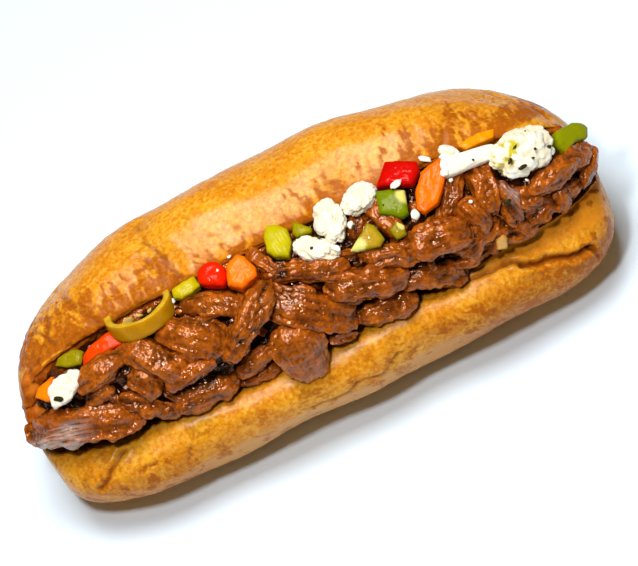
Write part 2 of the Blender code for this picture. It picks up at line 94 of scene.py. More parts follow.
# %% [markdown]
# ## Noise that numpy can compute
#
# Bread and meat have no straight lines, so nearly every surface below is pushed about by noise. Smooth
# noise is easy to make as whole arrays: give every corner of a cubic lattice a random value by hashing its
# whole numbers, and blend the eight corners round each point. The hash makes it the same on every run.

# %% Lattice noise, layers of it, and ridges
HASH, HASH_MIX = (73856093, 19349663, 83492791), 1274126177
TURN = np.array([[0.36, 0.48, -0.80], [-0.80, 0.60, 0.00], [0.48, 0.64, 0.60]])


def lattice_noise(points, size, seed=0):
    """Values from -1 to 1 that change smoothly over a distance of size: eight hashed corners blended by a
    quintic. The lattice is turned, so that its rows don't line up with the roll."""
    p = np.asarray(points) @ TURN / size + 31.7 * seed
    cell = np.floor(p).astype(np.int64)
    f = p - cell
    f = f**3 * (f * (f * 6 - 15) + 10)
    total = np.zeros(p.shape[:-1])
    for corner in np.ndindex(2, 2, 2):
        c = cell + corner
        code = (c[..., 0] * HASH[0]) ^ (c[..., 1] * HASH[1]) ^ (c[..., 2] * HASH[2])
        code = ((code ^ (code >> 13)) * HASH_MIX) & 0xFFFFFFFF
        value = ((code ^ (code >> 15)) & 0xFFFF) / 32767.5 - 1
        total += value * np.prod(np.where(corner, f, 1 - f), axis=-1)
    return total


def layered(points, size, layers, seed=0):
    """Noise plus the same at half the size and half the height, and so on."""
    return sum(0.5**k * lattice_noise(points, size / 2**k, seed + k) for k in range(layers))


def ridges(points, size, sharp, seed=0):
    """Thin lines where the noise crosses zero: one minus its size, raised to a power."""
    return (1 - np.abs(lattice_noise(points, size, seed))) ** sharp


def smooth(low, high, value):
    """0 below low, 1 above high, and an S-shaped cubic between."""
    t = np.clip((value - low) / (high - low), 0, 1)
    return t * t * (3 - 2 * t)


def bump(distance, half):
    """A bell: e to the minus (distance / half) squared."""
    return np.exp(-((distance / half) ** 2))


print("noise check:", np.round(layered(np.array([[1.0, 2.0, 3.0]]), 4.0, 3), 3))

# %% [markdown]
# ## From arrays to meshes
#
# Every piece here is a set of rings of points: a profile carried along a path. Neighbouring rings are
# joined by four-sided faces, and each end closes on one point. If the enclosed volume comes out negative
# the faces point inwards, so they are turned round. Values such as how brown a place is go into the mesh
# as attributes, which the materials read later.

# %% Rings to a closed mesh
def ring_faces(rows, cols, closed):
    """Corner numbers of the quads between rings, and of the two fans of triangles at the ends."""
    r = np.arange(rows if closed else rows - 1)[:, None]
    c = np.arange(cols)[None, :]
    next_r, next_c = (r + 1) % rows, (c + 1) % cols
    quads = np.stack(
        [r * cols + c, r * cols + next_c, next_r * cols + next_c, next_r * cols + c], axis=-1
    ).reshape(-1, 4)
    if closed:
        return quads, np.zeros((0, 3), int)
    k = np.arange(cols)
    after = (k + 1) % cols
    last = (rows - 1) * cols
    first_fan = np.stack([after, k, np.full(cols, rows * cols)], axis=1)
    last_fan = np.stack([last + k, last + after, np.full(cols, rows * cols + 1)], axis=1)
    return quads, np.concatenate([first_fan, last_fan])


def enclosed_volume(points, quads, fans):
    """Six times the volume inside: the sum of each triangle's corners' triple product."""
    triangles = np.concatenate([quads[:, [0, 1, 2]], quads[:, [0, 2, 3]], fans])
    a, b, c = (points[triangles[:, k]] for k in range(3))
    return np.einsum("ij,ij->", a, np.cross(b, c))


def flattened(values, closed):
    """Values on rings as one list, with the mean of each end ring for the point that closes it."""
    flat = values.reshape(-1, *values.shape[2:])
    if closed:
        return flat
    return np.concatenate([flat, values[0].mean(0, keepdims=True), values[-1].mean(0, keepdims=True)])


def make_piece(name, skins, replaced, closed=False):
    """One object from skins, which are pairs of rings in mm and a dictionary of values on those rings."""
    points, quads, fans, start = [], [], [], 0
    for rings, _ in skins:
        own = flattened(rings, closed)
        q, f = ring_faces(rings.shape[0], rings.shape[1], closed)
        if enclosed_volume(own, q, f) < 0:
            q, f = q[:, ::-1], f[:, ::-1]
        points.append(own)
        quads.append(q + start)
        fans.append(f + start)
        start += len(own)
    points = np.concatenate(points)
    points[:, 1] += MIDDLE_Y
    mesh = bpy.data.meshes.new(name)
    faces = np.concatenate(quads).tolist() + np.concatenate(fans).tolist()
    mesh.from_pydata((points * MM).tolist(), [], faces)
    for key in skins[0][1]:
        values = np.concatenate([flattened(extra[key], closed) for _, extra in skins])
        kind, field = ("FLOAT_VECTOR", "vector") if values.ndim == 2 else ("FLOAT", "value")
        carried = mesh.attributes.new(key, kind, "POINT")
        carried.data.foreach_set(field, values.astype(np.float32).ravel())
    mesh.shade_smooth()
    mesh.update()
    piece = bpy.data.objects.new(name, mesh)
    bpy.context.scene.collection.objects.link(piece)
    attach(piece, "root")
    if replaced:
        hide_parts(*replaced)
    triangles = sum(len(q) * 2 + len(f) for q, f in zip(quads, fans))
    print(name, "triangles:", triangles)
    return piece


def ring_normals(rings, closed=False):
    """Unit normals of a skin: the cross product of its steps along and around."""
    if closed:
        along = np.roll(rings, -1, axis=0) - np.roll(rings, 1, axis=0)
    else:
        along = np.gradient(rings, axis=0)
    around = np.roll(rings, -1, axis=1) - np.roll(rings, 1, axis=1)
    normals = np.cross(along, around)
    normals /= np.maximum(np.linalg.norm(normals, axis=2, keepdims=True), 1e-9)
    outward = np.sum(normals * (rings - rings.mean((0, 1))))
    return normals if outward > 0 else -normals


def signed_power(value, power):
    """The sign of a value with its size raised to a power: the curve of a superellipse."""
    return np.sign(value) * np.abs(value) ** power


# %% [markdown]
# ## The section of the roll
#
# Cut across, the roll is a thick letter C: the crust runs from the upper lip over the back and the flat
# base to the lower lip, and the soft crumb lines the mouth. A smooth curve through a few measured points
# draws it. The same curve is carried along X and shrinks to a tip at both ends. Each point has its own
# bluntness, because the lower half of the roll is squarer at its ends than the upper.

# %% The roll's section and its lengthwise shape
CRUST = [
    (-4.2, 69.3, 4.0), (2.0, 74.0, 3.4), (12.0, 77.6, 2.9), (24.0, 75.0, 2.6), (34.0, 66.5, 2.6),
    (41.0, 52.0, 2.8), (42.0, 36.0, 3.0), (37.5, 19.0, 3.2), (28.0, 5.0, 3.4), (13.0, -2.4, 3.6),
    (-5.0, -2.4, 4.0), (-21.0, 1.6, 4.6), (-33.0, 9.5, 5.0), (-40.5, 20.0, 4.8), (-42.2, 30.0, 4.0),
    (-39.0, 37.0, 3.2), (-33.0, 39.6, 3.0),
]
CRUMB = [
    (-26.5, 36.0, 3.0), (-12.0, 27.0, 3.0), (4.0, 21.5, 3.0), (18.0, 19.5, 3.0), (27.0, 25.0, 3.0),
    (26.0, 36.0, 3.2), (17.0, 48.0, 3.5), (6.0, 58.5, 3.8), (-1.5, 65.5, 4.0),
]
CORE = [
    (-24.5, 38.0, 3.0), (-11.0, 29.0, 3.0), (4.5, 23.5, 3.0), (17.0, 21.5, 3.0), (24.5, 26.0, 3.0),
    (23.5, 35.0, 3.2), (14.5, 46.0, 3.5), (3.5, 58.0, 3.8), (-4.6, 67.0, 4.0), (-9.4, 69.2, 4.0),
    (-16.5, 66.0, 4.0), (-23.4, 60.0, 4.0), (-28.9, 51.9, 4.0), (-29.6, 42.6, 3.6),
]
TIP_Y, TIP_Z = -2.0, 26.0
LEFT_BLUNTER = 0.05
CRUST_SHARE = len(CRUST) / (len(CRUST) + len(CRUMB))


def closed_spline(points, per_span):
    """A periodic cubic spline through points: slopes solve for equal curvature where spans meet."""
    points = np.array(points, float)
    count = len(points)
    spans = np.linalg.norm(np.roll(points, -1, axis=0)[:, :2] - points[:, :2], axis=1)
    before = np.roll(spans, 1)
    rows = np.arange(count)
    system = np.zeros((count, count))
    system[rows, rows] = 2 * (spans + before)
    system[rows, rows - 1] = spans
    system[rows, (rows + 1) % count] = before
    ahead = (np.roll(points, -1, axis=0) - points) / spans[:, None]
    behind = np.roll(ahead, 1, axis=0)
    slopes = np.linalg.solve(system, 3 * (ahead * before[:, None] + behind * spans[:, None]))
    t = np.tile(np.arange(per_span) / per_span, count)[:, None]
    span = np.repeat(rows, per_span)
    after = (span + 1) % count
    width = spans[span][:, None]
    return (
        points[span] * (2 * t**3 - 3 * t**2 + 1)
        + slopes[span] * width * (t**3 - 2 * t**2 + t)
        + points[after] * (3 * t**2 - 2 * t**3)
        + slopes[after] * width * (t**3 - t**2)
    )


def stations(count):
    """Places from -1 to 1, closer together towards both ends: one minus the square of what is left."""
    a = np.linspace(-1, 1, count + 2)[1:-1]
    return np.sign(a) * (1 - (1 - np.abs(a)) ** 2)


def lengthwise(section, along):
    """The section at each station, shrunk towards the tip by (1 - |x|^p)^(1/p), p its bluntness."""
    blunt = section[None, :, 2] * (1 - LEFT_BLUNTER * along[:, None])
    shrink = (1 - np.abs(along[:, None]) ** blunt) ** (1 / blunt)
    y = TIP_Y + shrink * (section[None, :, 0] - TIP_Y)
    z = TIP_Z + shrink * (section[None, :, 1] - TIP_Z)
    x = np.broadcast_to(along[:, None] * HALF_LENGTH, y.shape)
    return np.stack([x, y, z], axis=2)


ROLL_ROWS, ROLL_PER_SPAN = 306, 12
section = closed_spline(CRUST + CRUMB, ROLL_PER_SPAN)
roll = lengthwise(section, stations(ROLL_ROWS))
share = np.broadcast_to(np.arange(len(section)) / len(section), roll.shape[:2])
print("roll:", roll.shape[0], "sections of", roll.shape[1], "points")

# %% [markdown]
# ## Creases in the crust
#
# A soft crust wrinkles where the roll was bent open, and splits a little along its base. Each crease is a
# line on the mouth's plane, carried onto the crust under it. The crust sinks along the line, by an amount
# that falls off as a bell with the distance to it.

# %% Creases, as lines of x and rise with their depth and half width
UPPER_CREASES = [
    (1.0, 3.0, [(-42.5, 42.5), (-41.9, 35.9), (-39.7, 31.0), (-37.5, 24.8), (-36.4, 19.5)]),
    (0.5, 1.0, [(-46.5, 33.0), (-43.0, 28.5), (-41.5, 23.0), (-42.5, 19.5)]),
    (0.8, 1.2, [(-77.2, 35.9), (-73.9, 31.5), (-72.8, 26.5), (-69.5, 22.1), (-67.8, 19.0)]),
    (0.6, 0.9, [(-89.4, 25.4), (-86.0, 22.6), (-84.3, 19.0)]),
    (0.6, 1.0, [(-81.6, 30.4), (-84.3, 23.2)]),
    (0.5, 0.8, [(65.7, 30.5), (63.0, 26.0), (60.5, 21.5)]),
    (0.5, 0.8, [(72.4, 27.0), (74.0, 22.5)]),
    (0.6, 1.4, [(80.6, 32.5), (85.6, 27.6), (91.1, 22.1), (96.6, 14.3)]),
    (0.4, 0.6, [(-14.0, 44.0), (-11.5, 38.0)]),
]
LOWER_CREASES = [
    (2.6, 1.2, [
        (66.6, -26.2), (71.3, -27.9), (74.6, -28.0), (79.5, -29.5), (82.3, -30.9), (87.8, -31.5),
        (90.6, -31.2),
    ]),
    (1.3, 1.0, [(45.0, -21.6), (55.8, -22.8), (63.5, -23.6), (67.4, -26.0)]),
    (1.8, 0.8, [(90.3, -30.9), (90.8, -33.1), (91.9, -36.6)]),
    (1.3, 1.0, [(-79.6, -22.4), (-83.9, -25.9), (-87.7, -29.2), (-92.0, -31.2)]),
    (0.6, 0.7, [(-77.5, -31.6), (-74.0, -31.2), (-71.0, -31.9)]),
    (0.5, 0.6, [(-61.0, -35.5), (-58.5, -32.0)]),
    (0.8, 0.5, [
        (-17.1, -37.5), (-9.8, -38.1), (-2.7, -38.1), (0.6, -36.7), (3.9, -36.7), (7.8, -38.1),
        (12.2, -36.4), (17.2, -34.1),
    ]),
    (0.4, 0.6, [(52.0, -34.5), (49.0, -38.5)]),
]
# Where the crust's upper and lower front lie on the section, as shares of its points.
UPPER_SHARES, LOWER_SHARES = (0.0, 0.16), (0.45, 0.64)
UPPER_END, LOWER_START = 0.2, 0.42


def crust_point(x, rise, first, last):
    """The point of the crust at x that shows at this rise, sought between two shares of the section."""
    ring = lengthwise(section, np.array([x / HALF_LENGTH]))[0]
    keep = (share[0] >= first) & (share[0] <= last)
    ring = ring[keep]
    ring_rise = to_mouth(ring)[0]
    order = np.argsort(ring_rise)
    return np.array([np.interp(rise, ring_rise[order], ring[order, k]) for k in range(3)])


def distance_to_line(points, line):
    """Each point's distance to the nearest of a line's straight stretches."""
    nearest = np.full(points.shape[:-1], np.inf)
    for start, end in zip(line, line[1:]):
        step = end - start
        t = np.clip((points - start) @ step / (step @ step), 0, 1)
        nearest = np.minimum(nearest, np.linalg.norm(points - start - t[..., None] * step, axis=-1))
    return nearest


def crease_relief(points):
    """How far the creases sink the crust, and the shade painted at each place inside them."""
    sunk, dark = np.zeros(points.shape[:-1]), np.zeros(points.shape[:-1])
    wander = points + 0.5 * np.stack([lattice_noise(points, 2.5, seed) for seed in (3, 4, 5)], axis=-1)
    for creases, (first, last) in ((UPPER_CREASES, UPPER_SHARES), (LOWER_CREASES, LOWER_SHARES)):
        for depth, half, places in creases:
            line = np.array([crust_point(x, rise, first, last) for x, rise in places])
            away = distance_to_line(wander, line)
            sunk += depth * bump(away, half) - 0.25 * depth * bump(away - 2.2 * half, half)
            # Shade is painted along the middle of each crease.
            dark = np.maximum(dark, min(1.0, 0.25 + 0.3 * depth) * bump(away, min(0.75 * half, 1.0)))
    return sunk, dark


sunk, crease_dark = crease_relief(roll)
print("deepest crease in mm:", round(float(sunk.max()), 2))

# %% [markdown]
# ## Wrinkles, stains, a darker low front, and painted light and shade
#
# Juice has soaked the crust near the upper lip and runs up it in thin streaks, and the skin is finely
# wrinkled there. Away from the mouth it is smooth, and low on the front it is made darker. Several masks
# say how much of each shows where, and the same masks drive both the relief and the colour, as on the real
# crust. Towards the right end the lower lip is folded outward, so that a band of its inner side shows. That
# band is painted lighter, which is painted light. The pale base also carries painted light bounced from the
# floor, and the stains carry the painted shade of the creases.

# %% Noise and patches for the masks
rise, out = to_mouth(roll)
x = roll[..., 0]
on_crust = share < CRUST_SHARE
lower_half = share > 0.5
front = smooth(-6, 4, out)
upper_front = front * (share < UPPER_END) * smooth(14, 18, rise)
lower_front = front * (share > LOWER_START) * on_crust
sideways = x + 1.6 * layered(roll, 5.0, 2, 13)
stretched = np.stack([sideways / 1.5, rise / 6.0, out / 6.0], axis=-1)
streak_noise = layered(stretched, 1.0, 3, 11)
blotch_noise = layered(roll, 3.6, 4, 21)
speck_noise = layered(roll, 1.6, 2, 31)


def patch(middle_x, middle_rise, half_x, half_rise):
    """A soft oval patch on the mouth's plane: a bell of the distance measured in half widths."""
    return bump(np.hypot((x - middle_x) / half_x, (rise - middle_rise) / half_rise), 1.0)


print("share of the section that is crust:", round(CRUST_SHARE, 3))

# %% Masks on the roll
# The crust turns to crumb just before its end at the lower lip, and at once past the upper lip.
RIM_START, RIM_END, UPPER_RIM = CRUST_SHARE - 0.022, CRUST_SHARE - 0.004, 0.006
# The fold shows this much of the lip's inner side, which is baked too.
FOLD_START, FOLD_END = CRUST_SHARE + 0.045, CRUST_SHARE + 0.065
wrinkled = upper_front * np.clip(
    patch(-72, 24, 12, 9) + patch(-88, 22, 9, 8) + patch(-40, 27, 7, 11) + 0.8 * patch(-52, 22, 11, 5)
    + 0.5 * patch(76, 24, 14, 7) + 0.4 * patch(20, 21, 40, 3),
    0, 1,
)
# The streaks reach up to here: highest in the middle of the right half, and high again at the left.
streak_top = 22.5 + 4.0 * smooth(-12, 22, x) + 3.0 * patch(42, 22, 26, 40) + 5.0 * (1 - smooth(-42, -30, x))
streaks = upper_front * smooth(-2.0, 5.5, streak_top + 10.0 * streak_noise - rise)
streaks *= 0.5 + 0.5 * smooth(-0.6, 0.6, blotch_noise)
lip_band = upper_front * smooth(23.5, 17.5, rise + 2.5 * blotch_noise)
lower_spots = lower_front * smooth(0.28, 0.62, blotch_noise + 0.35 * speck_noise)
# The lower front is made darker low down, more towards both ends and most at the right.
baked_share = 0.26 + 0.44 * smooth(15, 60, x) + 0.28 * smooth(-45, -65, x)
baked_low = baked_share * smooth(-24.5, -33.0, rise + 1.5 * blotch_noise)
left_end = smooth(-80, -100, x)
right_end = smooth(82, 99, x)
# Real stains, with the painted shade of the creases and the darker low front added in.
stain = np.clip(
    1.2 * streaks + 0.5 * lip_band + 0.65 * wrinkled * smooth(-0.35, 0.5, blotch_noise) + 0.45 * lower_spots
    + crease_dark + (0.25 * left_end + 0.45 * right_end) * smooth(-0.3, 0.6, blotch_noise) * on_crust
    + lower_front * baked_low,
    0, 1,
)
# The pale base: paler crust there, and partly painted light bounced from the floor.
base_strip = smooth(-37.2, -40.0, rise + 1.0 * blotch_noise) * on_crust
crumb = np.where(on_crust, smooth(RIM_START, RIM_END, share), 1.0)
crumb = np.maximum(crumb, smooth(UPPER_RIM, 0.0, share))
folded = smooth(36, 48, x) * smooth(FOLD_END, FOLD_START, share)
crumb = crumb * (1 - 0.9 * folded * lower_half)
# The folded band is painted lighter: painted light where the beef shades it.
flap = smooth(40, 52, x) * smooth(-26, -23, rise) * lower_half
print("stained share of the crust:", round(float(stain[on_crust].mean()), 3))

# %% [markdown]
# ## Pushing the roll's surface out and in
#
# The relief is added along the roll's normals: slow swellings with the creases and fine wrinkles on the
# crust, and a torn, open surface on the crumb. The fold of the lower lip is pushed straight out of the mouth
# instead, because it hangs over. Crumb, soaked crust and all that turns away from the mouth is marked as
# dull, and the finish gives it less gloss.

# %% Push the roll's surface out and in
# How far the lip's inner side is folded outward, and where on the section.
FLAP_OUT, FLAP_SHARE, FLAP_HALF = 6.2, 0.660, 0.027
swell = 0.5 * np.sin(x / 11 + 40 * share) + 0.4 * np.sin(x / 6.3 - 25 * share + 1)
skin = 0.16 * layered(roll, 5.0, 3, 41) + 0.05 * layered(roll, 1.4, 2, 44)
fine_wrinkles = wrinkled * (1.2 * ridges(roll + 1.2 * blotch_noise[..., None], 3.8, 6, 51) - 0.25)
torn = 1.0 * layered(roll, 3.2, 4, 61) + 0.7 * ridges(roll, 2.6, 3, 64)
relief = np.where(on_crust, swell - sunk + skin - fine_wrinkles + 0.15 * streaks * speck_noise, 0.35 * torn)
edge = crumb * (1 - crumb) * 4
relief += edge * 0.5 * layered(roll, 2.2, 3, 71)
folded_out = FLAP_OUT * np.clip((x - 38) / 16, 0, 1) * bump(share - FLAP_SHARE, FLAP_HALF)
facing = ring_normals(roll) @ STRAIGHT_OUT
dull = np.maximum(np.maximum(crumb, smooth(0.6, 0.2, facing)), 0.85 * stain)
roll = roll + ring_normals(roll) * relief[..., None] + STRAIGHT_OUT * folded_out[..., None]
roll[..., 2] = np.maximum(roll[..., 2], 0.0)
values = {
    "stain": stain,
    "crease": crease_dark,
    "crumb": crumb,
    "strip": base_strip,
    "flap": flap,
    "dull": dull,
}
roll_piece = make_piece("roll_skin", [(roll, values)], ["roll"])

# %% [markdown]
# ## The beef
#
# Each piece is a slice of beef that was cooked and pulled: an oval in section, longer than it is wide, with
# fibres along it, a lumpy top and both ends tucked down into the heap. So a slice is an oval carried along
# a line on the heap. Noise widens and narrows it, then lumps, crests, fibre grooves and cracks push its
# surface about. The fibre noise is stretched along the slice, which is what makes it read as meat. Where a
# place lies deep in the heap, faces down or dips in the relief, shade is painted on it: it is marked as
# hollow shade, and the finish paints it nearly black.

# %% Slices: x, rise, length, width, thickness, turn in degrees, lift, arch and sway
BEEF = [
    (-86.4, -9.6, 41, 15, 9.0, -17, -0.4, 0.5, 1),
    (-64.3, -13.4, 21, 9, 8, -38, -1.0, 1, 0),
    (-73.0, 3.4, 21, 8.5, 8, 13, 3.5, 2, 1),
    (-55.4, -0.8, 25, 11.5, 9, -54, 3.0, 2, 0),
    (-62.0, -5.6, 12, 9, 8, -60, 0.5, 1, 0),
    (-46.0, -16.6, 26, 12.8, 9.5, -6, -2.2, 2, 0),
    (-47.3, -9.8, 19, 5.8, 6, 5, 3.8, 1, 0),
    (-41.3, 0.2, 25, 13.5, 9, -40, 2.5, 2, 0),
    (-30.4, 6.8, 24, 9, 8, -25, 3.7, 2, 0),
    (-22.2, -2.9, 31, 8.8, 8, 37, 6.0, 2, 0),
    (-26.3, -15.0, 15, 7.5, 7, 14, 1.0, 1, 0),
    (-11.3, -19.0, 20, 17.5, 11, -80, 4.0, 3, 0),
    (-2.6, -8.3, 34, 14.5, 9, -37, 2.0, 2, 0),
    (-9.8, 12.4, 14, 4.5, 4, -60, 4.5, 1, 0),
    (-3.4, 6.2, 20, 7.2, 6.5, -14, 3.5, 2, 0),
    (7.0, 1.8, 18, 8.6, 8, -18, 4.5, 2, 0),
    (16.5, 1.6, 11, 5.2, 5, -8, 2.5, 1, 0),
    (-12.9, 4.1, 14, 7, 6, -33, 0.6, 1, 0),
    (17.8, -8.2, 29, 10.8, 9, -15, 4.0, 2, 0),
    (20.0, -18.7, 23, 8.8, 8.0, -5, 0.4, 1, 0),
    (2.6, -20.6, 10, 4.8, 5, -8, 1.5, 1, 0),
    (28.9, -3.8, 21, 9, 8, -20, 3.5, 2, 0),
    (45.0, -5.8, 25, 12.8, 9, -10, 4.0, 2, 0),
    (37.0, -14.6, 28, 10.5, 8.5, -21, -1.2, 2, 0),
    (56.6, -10.6, 18, 11, 9, 12, -0.6, 2, 0),
    (59.6, -4.2, 13, 7, 7, -68, 3.5, 1, 0),
    (55.6, 5.6, 18, 8.6, 7.5, 58, 2.5, 1, 0),
    (66.1, 2.4, 19, 9.6, 8, 84, 2.0, 1, 0),
    (71.6, -5.4, 16, 6.8, 7, -80, 1.5, 1, 0),
    (77.6, -7.2, 12, 7.2, 7, -45, 1.0, 1, 0),
    (80.6, -12.4, 14, 7.4, 7, 14, -0.2, 1, 0),
    (87.4, -11.6, 8, 6, 6, 70, 0.4, 1, 0),
    (72.6, -14.6, 9, 5.2, 5, -45, -0.6, 1, 0),
    (91.5, -3.0, 27, 9.2, 8, 11, 4.0, 1, 0),
    (100.3, -6.2, 15, 7, 6.5, 48, 2.5, 1, 0),
    (94.2, -9.4, 14, 5.4, 5, 14, -0.8, 1, 0),
    (32.0, 9.3, 19, 8.5, 7.5, -70, 4.0, 2, 0),
    (23.5, 9.0, 10, 7, 6, 60, 2.0, 1, 0),
    (-27.0, -20.0, 16, 5.5, 6, -4, -2.0, 1, 0),
    (-52.8, -19.0, 7.5, 4.8, 5, 8, 3.0, 1, 0),
    (-76.8, -2.2, 11, 7, 7, 22, -0.6, 1, 0),
]
# The slices whose fibres stand out most, by their row.
STRINGY = {9, 12, 13, 14, 28, 29, 21}
print("slices:", len(BEEF), "of which stringy:", len(STRINGY))


# %% A slice, carried along its path
def angles(count):
    """Equal steps once round a circle, in radians."""
    return np.arange(count) * 2 * math.pi / count


def cos_sin(degrees):
    """The cosine and the sine of a turn in degrees."""
    return math.cos(math.radians(degrees)), math.sin(math.radians(degrees))


def slice_path(row, count):
    """The middle line of a slice on the heap, and its frame of along, across and up at each point."""
    middle_x, middle_rise, length, _, _, turn, lift, arch, sway = row
    c, n = cos_sin(turn)
    s = np.sin(np.linspace(-math.pi / 2, math.pi / 2, count + 2))
    bow = 1 - s**2
    path_x = middle_x + s * length / 2 * c - sway * (bow - 0.5) * n
    path_rise = middle_rise + s * length / 2 * n + sway * (bow - 0.5) * c
    line = on_heap(path_x, path_rise, lift - arch * s**2)
    along = np.gradient(line, axis=0)
    along /= np.linalg.norm(along, axis=1, keepdims=True)
    across = np.cross(STRAIGHT_OUT[None, :], along)
    across /= np.linalg.norm(across, axis=1, keepdims=True)
    return s[1:-1], line[1:-1], along[1:-1], across[1:-1], np.cross(along, across)[1:-1]


def beef_slice(row, seed, rows=86, cols=64):
    """An oval carried along the path, with uneven edges, then lumps, crests, fibres and cracks along its
    normals."""
    _, _, length, width, thick, _, _, _, _ = row
    s, line, along, across, up = slice_path(row, rows)
    theta = angles(cols)
    size = (1 - np.abs(s) ** 3.2) ** 0.5
    side = np.cos(theta)[None, :]
    edge_place = np.stack(np.broadcast_arrays(s[:, None] * length / 8, side * 0.6, seed * 9.0), axis=-1)
    uneven = 1 + 0.20 * layered(edge_place, 1.0, 2, seed)
    b = width / 2 * size[:, None] * signed_power(np.cos(theta), 0.85)[None, :] * uneven
    n = thick / 2 * size[:, None] * signed_power(np.sin(theta), 0.8)[None, :]
    rings = line[:, None, :] + across[:, None, :] * b[..., None] + up[:, None, :] * n[..., None]
    reach = np.broadcast_to((s * length / 2)[:, None], b.shape)
    grain = np.stack([reach, b, n], axis=-1)
    skewed = grain + 1.3 * np.stack([0 * b, lattice_noise(rings, 7.0, seed), 0 * b], axis=-1)
    fibres = layered(skewed / np.array([9.0, 1.4, 1.4]) + seed * 5.1, 1.0, 2, seed + 3)
    lumps = layered(rings, 5.5, 3, seed + 5)
    crests = ridges(skewed / np.array([4.6, 1.0, 1.0]) + seed * 2.9, 4.2, 4, seed + 11)
    cracks = ridges(skewed / np.array([3.6, 1.0, 1.0]) + seed * 3.3, 3.2, 9, seed + 7)
    pebbles = layered(rings, 1.9, 2, seed + 9)
    stringy = 1.0 if seed in STRINGY else 0.5
    height = 0.5 * lumps + 0.9 * crests + 0.24 * pebbles - 0.4 + stringy * (0.4 * fibres - 0.8 * cracks)
    height *= smooth(0.0, 0.35, size)[:, None]
    rings = rings + ring_normals(rings) * height[..., None]
    tone = 0.5 + 0.5 * lattice_noise(np.array([[seed * 1.7, 2.3, 4.1]]), 1.0, 2)[0]
    # Painted shade: places sunk into the heap, sides turned down and dips in the relief get the hollow shade
    # mask.
    place_rise, place_out = to_mouth(rings)
    sunken = smooth(3.0, -1.5, place_out - heap_out(rings[..., 0], place_rise))
    under = smooth(0.6, -0.3, np.sin(theta))[None, :]
    values = {
        "tone": np.full(b.shape, tone),
        "hollow": np.clip(-0.1 - 0.85 * height + 0.35 * under + 0.85 * sunken, 0, 1),
        "grain": np.stack([grain[..., 0] + 40 * seed, b, n], axis=-1),
        "sinew": np.zeros(b.shape),
    }
    return rings, values


# %% All the slices, in three pieces
slices = [beef_slice(row, seed) for seed, row in enumerate(BEEF)]
# Grey sinew shows along the lower left edge of the first slice and on the upper side of a short one.
first, short = slices[0][1], slices[28][1]
reach, off_edge = first["grain"][..., 0], first["grain"][..., 1]
first["sinew"][:] = smooth(-1.0, -5.0, off_edge - 0.25 * (reach + 20)) * smooth(6.0, -6.0, reach)
short["sinew"][:] = 0.6 * smooth(-0.5, 2.0, short["grain"][..., 1])
beef_pieces = [
    make_piece("beef_slices_left", slices[:14], ["beef"]),
    make_piece("beef_slices_middle", slices[14:28], ["beef"]),
    make_piece("beef_slices_right", slices[28:], ["beef"]),
]

# %% [markdown]
# ## What lies under and between the slices
#
# Between the slices one looks into the heap: dark meat in its juice, in deep shade, and many small torn
# shreds. A plain body, made like the roll from a section, fills the mouth, and shade is painted nearly black
# over it. A scatter of small shreds breaks it up. A row of them backs the vegetables under the upper lip,
# and soaked crumb lines the ends of the mouth.

# %% Soaked crumb at the ends of the mouth
# The rows are written as those of the slices are.
LINING = [
    (-99.8, 1.0, 20, 8, 6, 84, -3.4, 0, 0), (-97.0, 9.6, 14, 8, 6, 56, -1.0, 0, 0),
    (-90.0, 14.0, 16, 8, 6, 26, -0.6, 0, 0), (-79.0, 16.4, 18, 7, 6, 8, -0.8, 0, 0),
    (-66.0, 17.0, 17, 7, 6, 2, -1.2, 0, 0), (94.0, 10.2, 13, 6, 5, -38, -3.2, 0, 0),
]
lining = []
for k, row in enumerate(LINING):
    rings, _ = beef_slice(row, 340 + k, rows=40, cols=30)
    shares = {"stain": 0.0, "crease": 0.0, "crumb": 1.0, "strip": 0.0, "flap": 0.0, "dull": 1.0}
    lining.append((rings, {key: np.full(rings.shape[:2], share) for key, share in shares.items()}))
crumb_lining = make_piece("soaked_crumb", lining, [])

# %% The heap's body
CORE_ROWS, CORE_PER_SPAN = 320, 14
# The body ends this far short of the roll's tips, in mm.
CORE_SHORT = 2.0
core = lengthwise(closed_spline(CORE, CORE_PER_SPAN), stations(CORE_ROWS))
core[..., 0] *= (HALF_LENGTH - CORE_SHORT) / HALF_LENGTH
core_lumps = layered(core, 4.0, 4, 81) - ridges(core, 5.0, 5, 84)
core = core + ring_normals(core) * (1.3 * core_lumps - 0.6)[..., None]
core_values = {
    "tone": 0.25 + 0.2 * layered(core, 9.0, 2, 85),
    # Painted shade: the body is marked almost wholly as hollow shade, a little less on its lumps.
    "hollow": np.clip(0.9 - 0.25 * core_lumps, 0, 1),
    "grain": core,
    "sinew": np.zeros(core.shape[:2]),
}
beef_core = make_piece("beef_heap_body", [(core, core_values)], ["beef"])

# %% Shreds and the backing, with sizes drawn at random
# Lowest and highest length, width, thickness, turn and lift of the loose shreds and of the backing.
SHRED_SIZES = ((4, 10), (2.0, 4.2), (2.0, 3.6), (-90, 90), (-1.0, 1.6))
BACKING_SIZES = ((9, 13), (5.5, 7.5), (4.5, 6.0), (-25, 25), (-2.5, -1.0))
SHRED_COUNT, BACKING_COUNT = 120, 30
BACKING_START, BACKING_STEP, BACKING_RISE = -58, 4.8, 15.5
rng = np.random.default_rng(5)


def loose_slice(x, rise, sizes, seed, rows, cols):
    """A small slice at x and rise, with its other measures drawn between the limits in sizes."""
    drawn = [rng.uniform(low, high) for low, high in sizes]
    return beef_slice((x, rise, *drawn, 0.5, 0), seed, rows=rows, cols=cols)


